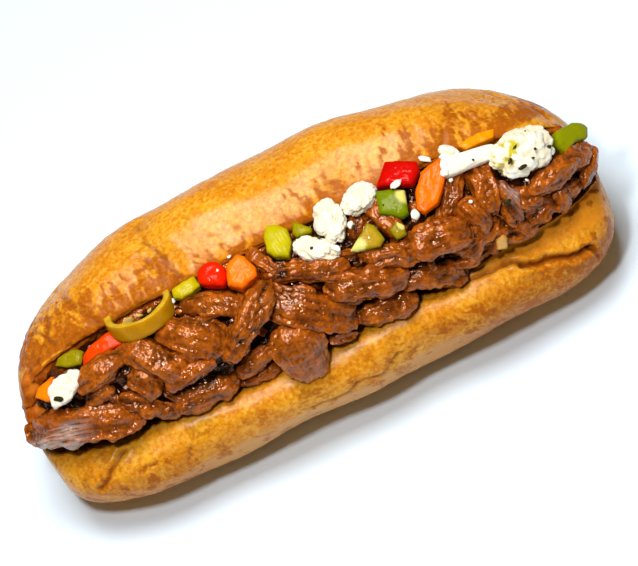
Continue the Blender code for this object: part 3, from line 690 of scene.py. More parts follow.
shreds = []
for k in range(SHRED_COUNT):
    shred_x = rng.uniform(-92, 94)
    # The band of shreds narrows towards the ends of the mouth, and more so at the right.
    end_gap = 6.0 * (abs(shred_x) / 96) ** 4 + (3.0 if shred_x > 45 else 0.0)
    shred_rise = rng.uniform(-18.0 + end_gap, 13 - end_gap)
    shreds.append(loose_slice(shred_x, shred_rise, SHRED_SIZES, 100 + k, 18, 16))
for k in range(BACKING_COUNT):
    backing_x = BACKING_START + BACKING_STEP * k
    shrink = (1 - (abs(backing_x) / 104) ** 4) ** 0.25
    shreds.append(loose_slice(backing_x, BACKING_RISE * shrink, BACKING_SIZES, 300 + k, 30, 26))
# Small slices that fill the lower lip at the right: x, rise and turn.
FILLERS = [(50.6, -16.8, -12), (56.8, -16.0, -4), (62.6, -14.2, 24), (68.6, -15.4, -16)]
for k, (filler_x, filler_rise, turn) in enumerate(FILLERS):
    row = (filler_x, filler_rise, 11, 5.5, 4.5, turn, 0.2, 0.5, 0)
    shreds.append(beef_slice(row, 360 + k, rows=30, cols=26))
beef_shreds = make_piece("beef_shreds", shreds, ["beef"])

# %% [markdown]
# ## Chopped vegetables
#
# A chopped piece is a flat slice with rounded edges. Its outline is a short list of corners on the mouth.
# The corners are rounded by averaging along the outline, and rings of that outline, drawn in towards both
# faces, make the closed skin. Its edge keeps the skin of the vegetable and its faces are the cut flesh, so
# each point also carries how near the edge it is.

# %% Slabs: thickness and lift, then the corners of the outline as x and rise
SLABS = {
    "carrot_1": (4.5, 2.0, [(-96.8, 5.5), (-94.6, 8.0), (-88.3, 9.4), (-90.6, 2.8), (-93.6, 2.2)]),
    "cauliflower_stalk_1": (5.5, 4.5, [
        (-93.0, -0.6), (-92.0, 5.6), (-88.8, 8.6), (-83.9, 8.2), (-81.1, 8.8), (-78.6, 6.6), (-82.2, 2.8),
        (-87.0, -0.4),
    ]),
    "pepper_green_1": (4.0, 1.5, [
        (-86.6, 11.8), (-84.4, 13.8), (-78.3, 14.1), (-75.6, 12.2), (-78.0, 8.4), (-82.4, 9.2),
    ]),
    "pepper_red_1": (4.0, 2.0, [
        (-78.0, 7.6), (-77.0, 10.6), (-73.4, 12.8), (-65.4, 14.3), (-63.0, 11.2), (-60.7, 8.3),
        (-67.5, 8.4), (-72.0, 8.0),
    ]),
    "pepper_green_2": (4.0, 6.0, [
        (-41.4, 14.6), (-41.0, 17.2), (-36.4, 17.9), (-32.2, 18.2), (-31.6, 14.3), (-35.0, 13.1),
        (-39.1, 13.0),
    ]),
    "pepper_red_2": (5.5, 7.0, [
        (-31.8, 16.2), (-30.2, 19.4), (-27.0, 20.2), (-23.6, 19.2), (-21.8, 16.0), (-22.4, 12.8),
        (-24.6, 10.6), (-28.6, 12.5), (-31.2, 14.2),
    ]),
    "carrot_2": (7.0, 5.5, [
        (-21.4, 16.4), (-16.5, 18.2), (-14.3, 16.0), (-12.4, 11.0), (-13.2, 8.6), (-19.8, 6.9),
        (-23.6, 9.9),
    ]),
    "celery_1": (6.0, 7.5, [
        (-7.1, 14.3), (-6.0, 19.3), (-3.6, 22.2), (-1.0, 21.6), (2.2, 18.2), (1.7, 14.3), (-1.3, 9.9),
        (-5.4, 12.0),
    ]),
    "pepper_green_3": (4.0, 5.0, [
        (2.9, 16.4), (4.6, 19.8), (6.3, 18.7), (9.6, 14.9), (8.8, 13.9), (3.6, 14.4),
    ]),
    "pepper_green_4": (4.0, 7.5, [
        (17.4, 3.1), (26.4, 8.8), (28.2, 7.4), (29.3, 1.7), (27.1, 0.0), (19.4, 1.9),
    ]),
    "pepper_red_3": (5.0, 10.0, [
        (34.3, 17.7), (40.6, 24.1), (50.3, 19.3), (49.6, 16.6), (45.6, 13.2), (39.4, 15.6),
    ]),
    "pepper_green_5": (5.0, 7.5, [
        (31.3, 9.6), (33.6, 16.8), (37.6, 15.4), (42.4, 13.0), (40.0, 5.5), (37.4, 5.2),
    ]),
    "carrot_3": (4.5, 7.0, [
        (43.2, 5.3), (44.8, 10.5), (49.8, 16.0), (57.4, 17.6), (58.2, 14.6), (54.7, 8.8), (50.3, 4.4),
        (44.8, 3.3),
    ]),
    "pepper_green_6": (3.5, 7.5, [(31.8, 3.9), (35.4, 5.2), (37.1, 2.8), (36.5, -0.3), (32.7, -0.3)]),
    "carrot_4": (3.5, 4.0, [
        (64.1, 18.4), (68.0, 19.2), (73.5, 19.2), (77.9, 17.9), (76.6, 15.6), (66.8, 15.8),
    ]),
    "pepper_green_7": (5.0, 4.0, [
        (92.6, 4.2), (95.0, 8.6), (101.1, 8.9), (104.4, 7.2), (105.5, 5.0), (103.8, 1.9), (98.9, 2.2),
        (95.0, 0.6),
    ]),
    "onion_1": (3.0, 2.5, [(61.0, -17.6), (62.0, -14.6), (65.0, -13.8), (65.8, -16.0), (64.4, -18.6)]),
}
# Pale or stained places on some pieces: middle x and rise, half length and half height.
PALE = {
    "pepper_green_4": (20.0, 3.4, 3.6, 2.6), "pepper_green_5": (41.6, 11.6, 3.0, 3.4),
    "pepper_green_6": (36.2, 3.8, 1.4, 2.2), "cauliflower_4": (76.8, 8.0, 5.4, 4.6),
}
# How much of the heap's slope a piece on it takes up.
LEAN_SHARE = 0.6
print("chopped pieces:", len(SLABS))


# %% How a piece lies on the heap, its rounded outline and its pale place
def lying(x, rise, lift, turn=0.0):
    """Origin and axes of a piece on the heap, which keep its outline as seen from straight out."""
    step = 1.0
    slope_x = (heap_out(x + step, rise) - heap_out(x - step, rise)) / (2 * step) * LEAN_SHARE
    slope_t = (heap_out(x, rise + step) - heap_out(x, rise - step)) / (2 * step) * LEAN_SHARE
    c, s = cos_sin(turn)
    start = from_mouth(0, 0, 0)
    along = from_mouth(c, s, slope_x * c + slope_t * s) - start
    across = from_mouth(-s, c, slope_t * c - slope_x * s) - start
    outward = np.cross(along, across)
    return on_heap(x, rise, lift), np.stack([along, across, outward / np.linalg.norm(outward)])


def rounded_outline(corners, count, radius):
    """Points at equal steps round a polygon, each averaged with its neighbours within radius."""
    loop = np.vstack([corners, corners[:1]])
    steps = np.linalg.norm(np.diff(loop, axis=0), axis=1)
    reach = np.concatenate([[0], np.cumsum(steps)])
    at = np.arange(count) / count * reach[-1]
    outline = np.stack([np.interp(at, reach, loop[:, k]) for k in range(2)], axis=1)
    window = max(1, int(radius / reach[-1] * count))
    shifts = range(-window, window + 1)
    return sum(np.roll(outline, k, axis=0) for k in shifts) / len(shifts)


def pale_place(name, along, across):
    """How pale each place of a piece is: a bell round the place that PALE names for it."""
    if name not in PALE:
        return np.zeros(along.shape)
    x, rise, half_x, half_rise = PALE[name]
    return smooth(0.25, 0.6, bump(np.hypot((along - x) / half_x, (across - rise) / half_rise), 1.0))


# %% Slabs
def slab(name, square=0.5, radius=0.7, rough=0.10, dome=0.0, rows=48, cols=96, seed=0):
    """Rings of the outline, drawn in towards both faces by a superellipse, with fine noise on top."""
    thick, lift, corners = SLABS[name]
    corners = np.array(corners)
    centre = corners.mean(0)
    outline = rounded_outline(corners - centre, cols, radius)
    face = np.arccos(np.linspace(0.04, 0.94, rows // 3) ** (1 / square))
    half_way = np.concatenate([face, np.linspace(face[-1], 0, rows // 6 + 1)[1:]])
    v = np.concatenate([-half_way, half_way[-2::-1]])
    drawn = signed_power(np.cos(v), square)[:, None]
    flat = outline[None, :, :] * drawn[..., None]
    span = np.abs(outline).max()
    level = thick / 2 * signed_power(np.sin(v), square)[:, None] * np.ones(cols)
    level = level + dome * (1 - (np.linalg.norm(flat, axis=2) / span) ** 2)
    local = np.dstack([flat, level])
    local = local + ring_normals(local) * (2 * rough * layered(local, 2.4, 3, seed))[..., None]
    origin, axes = lying(centre[0], centre[1], lift)
    values = {
        "edge": drawn * np.ones(cols),
        "pale": pale_place(name, centre[0] + local[..., 0], centre[1] + local[..., 1]),
    }
    return origin + local @ axes, values, local


slab_pieces = {}
SLAB_FORMS = {
    "carrot": dict(square=0.36, radius=0.55, rough=0.10),
    "pepper_red": dict(square=0.45, radius=0.8, rough=0.06, dome=0.5),
    "pepper_green": dict(square=0.42, radius=0.6, rough=0.07, dome=0.4),
    "celery": dict(square=0.40, radius=0.6, rough=0.08),
    "cauliflower": dict(square=0.5, radius=0.8, rough=0.28),
    "onion": dict(square=0.6, radius=0.6, rough=0.15),
}
for seed, name in enumerate(SLABS):
    kind = next(key for key in SLAB_FORMS if name.startswith(key))
    rings, values, local = slab(name, seed=200 + seed, **SLAB_FORMS[kind])
    if kind == "celery":
        ribs = 0.05 * np.cos(local[..., 0] * 5.2 + 0.35 * local[..., 1])
        rings = rings + ring_normals(rings) * ribs[..., None]
    slab_pieces[name] = make_piece(name + "_cut", [(rings, values)], [name])

# %% [markdown]
# ## Cauliflower
#
# A floret's head is a cloud of little round buds on larger knobs. On a ball, each bud is a dome round its
# own direction, and the surface stands as high as the highest dome there. Two sizes of buds laid over each
# other give the crumbly look. The stalk is a smooth, slightly tapered block.

# %% Florets: x, rise, length, width, thickness, turn, lift and stalk length
FLORETS = {
    "cauliflower_1": (7.8, 8.6, 16.0, 9.0, 7.0, -38, 6.0, 0),
    "cauliflower_2": (15.9, 15.0, 15.5, 11.5, 9.0, 80, 8.0, 0),
    "cauliflower_3": (27.6, 17.4, 13.5, 9.5, 8.0, 15, 9.5, 0),
    "cauliflower_4": (82.2, 8.0, 23.0, 18.0, 13.0, -6, 7.0, 15),
    "cauliflower_5": (60.9, 18.1, 7.6, 4.6, 5.0, -42, 8.5, 0),
}
# How many knobs and buds a head has, and how wide each is in radians.
KNOBS, KNOB_SPREAD, BUDS, BUD_SPREAD = 26, 0.52, 420, 0.13
print("florets:", list(FLORETS))


# %% Heads and stalks
def domes(way, count, spread, generator):
    """The height of the highest dome at each direction: the root of one minus the squared distance."""
    middles = generator.normal(size=(count, 3))
    middles /= np.linalg.norm(middles, axis=1, keepdims=True)
    height = np.zeros(way.shape[:2])
    for middle in middles:
        away = np.arccos(np.clip(way @ middle, -1, 1)) / spread
        height = np.maximum(height, np.sqrt(np.clip(1 - away**2, 0, 1)))
    return height


def ball_directions(rows, cols):
    """Directions on a ball: the sine of the latitude, then its cosine shared by the turn round."""
    v = np.linspace(-math.pi / 2, math.pi / 2, rows + 2)[1:-1, None]
    theta = angles(cols)[None, :]
    parts = np.broadcast_arrays(np.sin(v), np.cos(v) * np.cos(theta), np.cos(v) * np.sin(theta))
    return np.stack(parts, axis=-1)


def floret(name, seed, rows=90, cols=110):
    """A ball of knobs and buds, stretched to the floret's size and laid on the heap."""
    x, rise, length, width, thick, turn, lift, stalk = FLORETS[name]
    generator = np.random.default_rng(seed)
    way = ball_directions(rows, cols)
    knobs = domes(way, KNOBS, KNOB_SPREAD, generator)
    buds = domes(way, BUDS, BUD_SPREAD, generator)
    radius = 0.75 + 0.20 * knobs + 0.045 * buds + 0.05 * layered(way * 4, 1.0, 3, seed)
    local = way * radius[..., None] * np.array([length, width, thick]) / 2
    origin, axes = lying(x, rise, lift, turn)
    c, s = cos_sin(turn)
    turned_x = x + local[..., 0] * c - local[..., 1] * s
    turned_rise = rise + local[..., 0] * s + local[..., 1] * c
    speckled = pale_place(name, turned_x, turned_rise) * smooth(-0.2, 0.3, layered(local, 2.2, 2, seed))
    values = {"bud": np.clip(0.5 * knobs + 0.5 * buds, 0, 1), "pale": speckled}
    skins = [(origin + local @ axes, values)]
    if stalk:
        skins.append(stalk_skin(origin, axes, length, stalk))
    return skins


def stalk_skin(origin, axes, length, stalk, rows=60, cols=48):
    """A block with rounded edges that widens to both ends, beside the head it belongs to."""
    s = np.sin(np.linspace(-math.pi / 2, math.pi / 2, rows + 2))[1:-1, None]
    theta = angles(cols)[None, :]
    size = signed_power(1 - s**2, 0.22)
    waist = 0.80 + 0.28 * s**2 - 0.18 * s
    a = (stalk + 5) / 2 * s + 0 * theta
    b = 3.6 * size * waist * signed_power(np.cos(theta), 0.6)
    n = 2.8 * size * waist * signed_power(np.sin(theta), 0.6)
    local = np.stack([a, b, n], axis=-1)
    local = local + ring_normals(local) * (0.22 * layered(local / np.array([3, 1, 1]), 1.6, 2, 9))[..., None]
    local = local + np.array([-(length / 2 + stalk / 2 - 2.0), 3.4, -0.5])
    return origin + local @ axes, {"bud": np.full(a.shape, 0.85), "pale": np.zeros(a.shape)}


floret_pieces = {}
for seed, name in enumerate(FLORETS):
    floret_pieces[name] = make_piece(name + "_floret", floret(name, 40 + seed), [name])

# %% [markdown]
# ## The pickled pepper ring
#
# A slice across a pickled pepper is a ring: a waxy skin outside, pale flesh, and a few seeds held in its
# middle. A rounded rectangle is turned round a leaning axis, so that most of the ring slips under the upper
# lip. The ring isn't quite round, and its wall varies a little.

# %% The ring
RING_X, RING_RISE, RING_LIFT, RING_RADIUS, RING_WALL, RING_HEIGHT = -53.8, 15.6, 3.2, 12.0, 2.6, 6.4
RING_LEAN = math.radians(28)
ring_axis = from_mouth(0, math.cos(RING_LEAN), math.sin(RING_LEAN)) - from_mouth(0, 0, 0)
ring_side = np.array([1.0, 0.0, 0.0])
ring_deep = np.cross(ring_axis, ring_side)
ring_middle = on_heap(RING_X, RING_RISE, RING_LIFT)


def ring_skin(rows=180, cols=48):
    """A rounded rectangle at each turn: reach out from the axis, and level along it."""
    turn, theta = angles(rows)[:, None], angles(cols)[None, :]
    radius = RING_RADIUS * (1 + 0.015 * np.cos(2 * turn + 1) + 0.012 * np.cos(3 * turn))
    wall = RING_WALL * (1 + 0.10 * np.cos(2 * turn) + 0.06 * np.sin(5 * turn))
    reach = radius - wall / 2 + wall / 2 * signed_power(np.cos(theta), 0.5)
    level = RING_HEIGHT / 2 * signed_power(np.sin(theta), 0.5) * (1 + 0.05 * np.cos(4 * turn + 2))
    rings = (
        ring_middle
        + ring_side * (reach * np.cos(turn))[..., None]
        + ring_deep * (reach * np.sin(turn))[..., None]
        + ring_axis * (level + 0 * reach)[..., None]
    )
    outer = smooth(0.25, 0.75, np.cos(theta)) + 0 * turn
    rough = 0.10 * layered(rings, 2.2, 3, 301) * (1 - 0.6 * outer)
    return rings + ring_normals(rings, True) * rough[..., None], {"edge": outer, "pale": 0 * outer}


ring_piece = make_piece("pickled_ring_slice", [ring_skin()], ["pickled_ring"], closed=True)


# %% The seeds in the ring
def pebble(middle, axes, sizes, seed, rows=14, cols=16, rough=0.24):
    """A skin for a small rounded bit: an ellipsoid on three axes, roughened by noise."""
    way = ball_directions(rows, cols)
    radius = 1 + rough * layered(way * 1.4 + seed * 3.7, 1.0, 3, seed)
    rings = middle + (way * radius[..., None] * np.array(sizes) / 2) @ axes
    return rings, {"bud": np.ones(rings.shape[:2]), "pale": np.zeros(rings.shape[:2])}


# Seeds: how far to the side, deep in and up the ring's axis, turn in degrees, and sizes.
seed_places = [
    (-4.6, 3.4, 0.8, 20, (4.6, 3.0, 1.4)), (-0.4, 1.8, 0.2, -25, (2.2, 1.2, 0.9)),
    (3.4, 2.6, 0.6, 35, (2.0, 1.3, 0.9)), (7.8, 1.6, -0.2, 60, (2.4, 1.1, 0.9)),
]
seed_skins = []
for k, (side, deep, level, turn, sizes) in enumerate(seed_places):
    c, s = cos_sin(turn)
    seed_axes = np.stack([ring_side * c + ring_axis * s, ring_axis * c - ring_side * s, ring_deep])
    middle = ring_middle + ring_side * side - ring_deep * deep + ring_axis * level
    seed_skins.append(pebble(middle, seed_axes, sizes, 320 + k))
ring_seeds = make_piece("pickled_ring_seeds", seed_skins, [])

# %% [markdown]
# ## Crumbs, herbs and other small bits
#
# A few white crumbs of cauliflower and dark flakes of dried herb lie about. They are too small to be
# solids of their own, so each kind is one mesh of many little rounded bits.

# %% Crumbs of cauliflower and flakes of herb: x, rise, lift, length and width
CRUMBS = [
    (52.8, 19.6, 9.5, 4.2, 2.0), (40.6, 16.4, 13.6, 4.0, 2.2), (43.9, 21.4, 13.0, 1.5, 1.4),
    (56.5, 12.7, 10.5, 2.6, 2.4), (41.9, 4.6, 6.5, 2.8, 3.2), (-42.2, 14.4, 5.0, 2.2, 2.0),
    (57.4, 9.6, 8.5, 1.4, 1.2), (58.4, 17.6, 9.0, 2.6, 1.8), (21.4, 11.0, 9.0, 2.6, 2.0),
    (-19.0, 19.2, 9.0, 1.6, 0.9), (60.0, 0.4, 7.2, 1.5, 1.1), (79.8, -1.4, 7.0, 1.3, 0.8),
    (13.6, 6.4, 7.8, 3.6, 2.0), (-55.0, 10.2, 7.4, 1.2, 2.6), (-24.4, 16.8, 10.6, 1.0, 0.9),
]
FLAKES = [
    (80.2, 3.0, 12.4, 3.0, 1.5), (77.4, 6.6, 12.8, 2.2, 1.2), (83.8, 10.8, 13.9, 1.8, 1.0),
    (91.2, 5.2, 12.0, 1.3, 1.2), (86.2, 13.2, 12.6, 1.2, 0.8), (88.4, 11.2, 12.8, 1.0, 0.8),
    (84.6, 4.2, 13.4, 1.1, 0.8), (81.0, 10.0, 13.9, 2.6, 1.1), (86.6, 6.6, 13.9, 1.0, 0.9),
    (-89.9, 2.0, 8.2, 3.2, 1.8), (10.4, 11.8, 9.6, 1.4, 1.2), (6.6, 9.8, 9.4, 1.1, 1.1),
    (21.9, 10.0, 9.4, 1.3, 1.2), (71.0, -5.0, 6.4, 2.6, 1.8), (-63.0, -3.0, 8.8, 1.2, 0.9),
    (60.6, 14.6, 10.6, 0.9, 0.8), (66.8, 12.4, 10.2, 0.8, 0.7), (33.8, 12.0, 10.6, 0.7, 0.7),
    (-72.0, 5.4, 6.0, 1.3, 0.9), (-86.0, -3.6, 8.8, 1.6, 0.7), (-34.0, 6.5, 8.9, 0.9, 0.8),
]


def scatter(rows, seed, thin):
    """Small bits, each at its x, rise and lift, with its own length and width and a random turn."""
    generator = np.random.default_rng(seed)
    skins = []
    for k, (x, rise, lift, length, width) in enumerate(rows):
        origin, axes = lying(x, rise, lift, generator.uniform(-60, 60))
        skins.append(pebble(origin, axes, (length, width, width * thin), seed + k))
    return skins


crumb_bits = make_piece("cauliflower_crumbs", scatter(CRUMBS, 400, 0.7), [])
herb_flakes = make_piece("herb_flakes", scatter(FLAKES, 500, 0.35), [])

# %% [markdown]
# ## Materials
#
# A finish is a tree of shader nodes. Two effects come back in most of them: mottling, which says where one
# colour gives way to another, and fine relief that is too small for the mesh. Each is a node group, built
# once. Colours are written as they look on a screen and turned into the linear values that Blender wants.

# %% Colours, nodes and groups
def paint(red, green, blue):
    """A screen colour from 0 to 255 as linear light: the standard screen curve, undone."""
    c = np.array([red, green, blue]) / 255
    linear = np.where(c <= 0.04045, c / 12.92, ((c + 0.055) / 1.055) ** 2.4)
    return (*[float(v) for v in linear], 1.0)


def fill_inputs(tree, node, inputs):
    """Gives each input of a node, by name or number, its value, or a link where that is a socket."""
    for key, value in inputs.items():
        if isinstance(value, bpy.types.NodeSocket):
            tree.links.new(value, node.inputs[key])
        else:
            node.inputs[key].default_value = value


def add_node(tree, kind, inputs=None, **settings):
    """Adds a node, sets its properties and fills its inputs."""
    node = tree.nodes.new(kind)
    for key, value in settings.items():
        setattr(node, key, value)
    fill_inputs(tree, node, inputs or {})
    return node


def math_value(tree, operation, *values):
    """What one Math node makes of the values."""
    return add_node(tree, "ShaderNodeMath", dict(enumerate(values)), operation=operation).outputs[0]


def soft_step(tree, value, low, high):
    """0 below low, 1 above high, and an S-shaped curve between."""
    return add_node(tree, "ShaderNodeMapRange", {
        "Value": value, "From Min": low, "From Max": high,
    }, interpolation_type="SMOOTHSTEP").outputs["Result"]


def new_group(name, numbers, output):
    """An empty shader node group: a vector and the named numbers go in, and one number comes out."""
    group = bpy.data.node_groups.new(name, "ShaderNodeTree")
    group.interface.new_socket("Vector", in_out="INPUT", socket_type="NodeSocketVector")
    for label in numbers:
        group.interface.new_socket(label, in_out="INPUT", socket_type="NodeSocketFloat")
    group.interface.new_socket(output, in_out="OUTPUT", socket_type="NodeSocketFloat")
    return group, group.nodes.new("NodeGroupInput").outputs, group.nodes.new("NodeGroupOutput").inputs


print("pure white paint:", paint(255, 255, 255))

# %% [markdown]
# ## Two node groups that the finishes share
#
# Mottling is noise of a chosen size, passed through a soft step round a threshold. Raising the threshold
# leaves fewer spots, and a smaller softness makes their borders harder. Fine relief is the sum of a coarse
# and a fine noise, for a Bump node. With little detail it stays smooth, so that a glossy place on it shines
# as one small bright dot.

# %% The groups for mottling and fine relief
NOISE_SCALE_OF_1_MM = 1000.0


def sized_noise(group, start, size):
    """Noise with spots of a size in mm, on the group's own vector and with its detail."""
    scale = math_value(group, "DIVIDE", NOISE_SCALE_OF_1_MM, start[size])
    return add_node(group, "ShaderNodeTexNoise", {
        "Vector": start["Vector"], "Scale": scale, "Detail": start["Detail"],
    }).outputs["Fac"]


def build_mottle():
    """Noise of a size in mm, turned into a mask that rises from 0 to 1 about a threshold."""
    group, start, end = new_group("mottle", ("Size", "Detail", "Threshold", "Softness"), "Mask")
    low = math_value(group, "SUBTRACT", start["Threshold"], start["Softness"])
    high = math_value(group, "ADD", start["Threshold"], start["Softness"])
    group.links.new(soft_step(group, sized_noise(group, start, "Size"), low, high), end["Mask"])
    return group


def build_fine_relief():
    """Coarse noise plus fine noise times its share, for relief finer than the mesh."""
    group, start, end = new_group("fine relief", ("Coarse", "Fine", "Fine Share", "Detail"), "Height")
    coarse, fine = (sized_noise(group, start, size) for size in ("Coarse", "Fine"))
    share_of_fine = math_value(group, "MULTIPLY", fine, start["Fine Share"])
    group.links.new(math_value(group, "ADD", coarse, share_of_fine), end["Height"])
    return group


MOTTLE, FINE_RELIEF = build_mottle(), build_fine_relief()
print("node groups:", [group.name for group in bpy.data.node_groups])


# %% What a finish is put together from
def new_material(name):
    """A material, its tree, its shader, and Object coordinates for its patterns."""
    material = bpy.data.materials.new(name)
    material.use_nodes = True
    tree = material.node_tree
    place = tree.nodes.new("ShaderNodeTexCoord").outputs["Object"]
    return material, tree, tree.nodes["Principled BSDF"], place


def mottle(tree, vector, size, threshold=0.5, softness=0.1, detail=3.0):
    """Places the mottle group and returns its mask."""
    return add_node(tree, "ShaderNodeGroup", {
        "Vector": vector, "Size": size, "Detail": detail, "Threshold": threshold, "Softness": softness,
    }, node_tree=MOTTLE).outputs["Mask"]


def relief_height(tree, vector, coarse, fine, fine_share, detail=3.0):
    """Places the fine relief group and returns its height."""
    return add_node(tree, "ShaderNodeGroup", {
        "Vector": vector, "Coarse": coarse, "Fine": fine, "Fine Share": fine_share, "Detail": detail,
    }, node_tree=FINE_RELIEF).outputs["Height"]


def blend(tree, mask, first, second):
    """The first colour where the mask is 0 and the second where it is 1."""
    node = add_node(tree, "ShaderNodeMix", data_type="RGBA")
    fill_inputs(tree, node, {0: mask, 6: first, 7: second})
    return node.outputs[2]


def lay_over(tree, colour, layers):
    """Lays one colour after another over the first, each by its own mask."""
    for mask, top in layers:
        colour = blend(tree, mask, colour, top)
    return colour


def times(tree, first, second):
    """The product of two values."""
    return math_value(tree, "MULTIPLY", first, second)


def value_range(tree, value, low, high):
    """Maps 0 to 1 onto low to high."""
    node = add_node(tree, "ShaderNodeMapRange", {"Value": value, "To Min": low, "To Max": high})
    return node.outputs["Result"]


def attribute(tree, name, output="Fac"):
    """The values that the mesh carries under a name."""
    return add_node(tree, "ShaderNodeAttribute", attribute_name=name).outputs[output]


def bump_normal(tree, height, strength, distance):
    """A Bump node in metres of depth."""
    return add_node(tree, "ShaderNodeBump", {
        "Height": height, "Strength": strength, "Distance": distance,
    }).outputs["Normal"]


# %% [markdown]
# ## The crust's finish
#
# Baked crust is golden, paler where it was stretched and browner where juice soaked in. The stain, crease
# and crumb masks that shaped the mesh now choose its colour, and fine noise breaks up their borders. The
# crease mask paints shade into the creases, the folded lip is painted lighter, which is painted light, and
# the pale base also carries painted light bounced from the floor. The skin is a little oily, so a thin,
# rather rough coat lies on it. The coat fades out where the crust is stained and where it turns away,
# because there it would only mirror the pale floor.

# %% Crust
def crust_finish():
    """Gold under layers of mottling, the folded lip painted lighter as light, the pale base with painted
    bounced light, stains, painted shade in the creases, and crumb.
    """
    material, tree, shader, place = new_material("crust")
    colour = blend(tree, mottle(tree, place, 20.0, 0.5, 0.16), paint(228, 158, 30), paint(216, 136, 14))
    cloudy = times(tree, mottle(tree, place, 4.5, 0.52, 0.14), 0.45)
    freckles = times(tree, mottle(tree, place, 1.3, 0.54, 0.09), 0.55)
    pale_spots = times(tree, mottle(tree, place, 1.7, 0.56, 0.09), 0.35)
    stained = attribute(tree, "stain")
    broken_up = math_value(tree, "MULTIPLY_ADD", stained, mottle(tree, place, 1.1, 0.5, 0.28), stained)
    soaked = soft_step(tree, broken_up, 0.25, 1.6)
    soft = blend(tree, mottle(tree, place, 3.0, 0.5, 0.2), paint(190, 104, 26), paint(142, 64, 12))
    colour = lay_over(tree, colour, [
        (cloudy, paint(208, 122, 14)), (freckles, paint(182, 98, 12)), (pale_spots, paint(244, 190, 80)),
        # The folded lip, painted lighter as painted light.
        (times(tree, attribute(tree, "flap"), 0.7), paint(228, 138, 28)),
        # The pale base, partly painted bounced light, then the stains with the painted crease shade.
        (attribute(tree, "strip"), paint(206, 144, 74)), (soaked, paint(166, 86, 14)),
        # Painted shade in the creases, then the crumb.
        (attribute(tree, "crease"), paint(120, 56, 10)), (attribute(tree, "crumb"), soft),
    ])
    fill_inputs(tree, shader, {
        "Base Color": colour,
        "Roughness": value_range(tree, mottle(tree, place, 5.0, 0.5, 0.3), 0.16, 0.28),
        "Normal": bump_normal(tree, relief_height(tree, place, 1.6, 0.6, 0.4), 0.5, 0.0004),
        "Specular IOR Level": 0.04,
        "Specular Tint": (1.0, 0.80, 0.48, 1.0),
        "Coat Weight": value_range(tree, attribute(tree, "dull"), 0.4, 0.0),
        "Coat Roughness": 0.30,
    })
    return material


def finish_pieces(pieces, material):
    """Gives each piece the material."""
    for piece in pieces:
        piece.data.materials.append(material)
    print(material.name, "finishes", len(pieces), "pieces with", len(material.node_tree.nodes), "nodes")


finish_pieces([roll_piece, crumb_lining], crust_finish())

# %% [markdown]
# ## The beef's finish
#
# Cooked beef is brown and redder where it is thin, and a film of juice makes it glossy. Shade is painted
# nearly black into its hollows, under its slices and over the body of the heap. Many small bright
# highlights come from a strong gloss, tinted like the juice, on smooth relief of about a millimetre: finer
# relief would blur them, and an untinted gloss would turn the meat grey. The fibres follow each slice, so
# their noise reads the slice's own grain attribute and not the room's axes.

# %% Beef
# The grain is stretched along the slice by reading it slower there.
GRAIN_STRETCH = 0.14


def beef_finish():
    """Fibres in two browns under dark patches, pits, painted shade in the hollows and grey threads of sinew.
    """
    material, tree, shader, place = new_material("beef")
    stretched = add_node(tree, "ShaderNodeMapping", {
        "Vector": attribute(tree, "grain", "Vector"), "Scale": (GRAIN_STRETCH * MM, MM, MM),
    }).outputs["Vector"]
    fibres = mottle(tree, stretched, 1.3, 0.5, 0.22)
    dark_patches = times(tree, mottle(tree, place, 3.4, 0.52, 0.14), 0.55)
    pits = times(tree, mottle(tree, place, 1.2, 0.54, 0.12), 0.45)
    threads = times(tree, attribute(tree, "sinew"), mottle(tree, stretched, 0.9, 0.46, 0.12))
    colour = lay_over(tree, blend(tree, fibres, paint(188, 96, 14), paint(140, 60, 6)), [
        (times(tree, attribute(tree, "tone"), 0.5), paint(194, 104, 22)), (dark_patches, paint(104, 42, 5)),
        # Pits, then shade painted nearly black in the hollows.
        (pits, paint(72, 24, 3)), (attribute(tree, "hollow"), paint(22, 6, 1)),
        (times(tree, threads, 0.8), paint(176, 160, 150)),
    ])
    fine = relief_height(tree, place, 1.5, 0.8, 0.5, detail=0.5)
    height = math_value(tree, "MULTIPLY_ADD", fibres, 0.15, fine)
    fill_inputs(tree, shader, {
        "Base Color": colour,
        "Roughness": value_range(tree, mottle(tree, place, 2.0, 0.5, 0.15), 0.08, 0.22),
        "Normal": bump_normal(tree, height, 0.9, 0.00045),
        "Specular IOR Level": 0.6,
        "Specular Tint": (1.0, 0.58, 0.40, 1.0),
        "Coat Weight": 0.04,
        "Coat Roughness": 0.10,
    })
    return material


finish_pieces([*beef_pieces, beef_core, beef_shreds], beef_finish())

# %% [markdown]
# ## The vegetables' finishes
#
# Light goes a little way into pickled vegetables, so each has some subsurface scattering. Skin is deep in
# colour and glossy; cut flesh is paler, with fine relief. One function makes them all, from the colours of
# skin, flesh and specks.

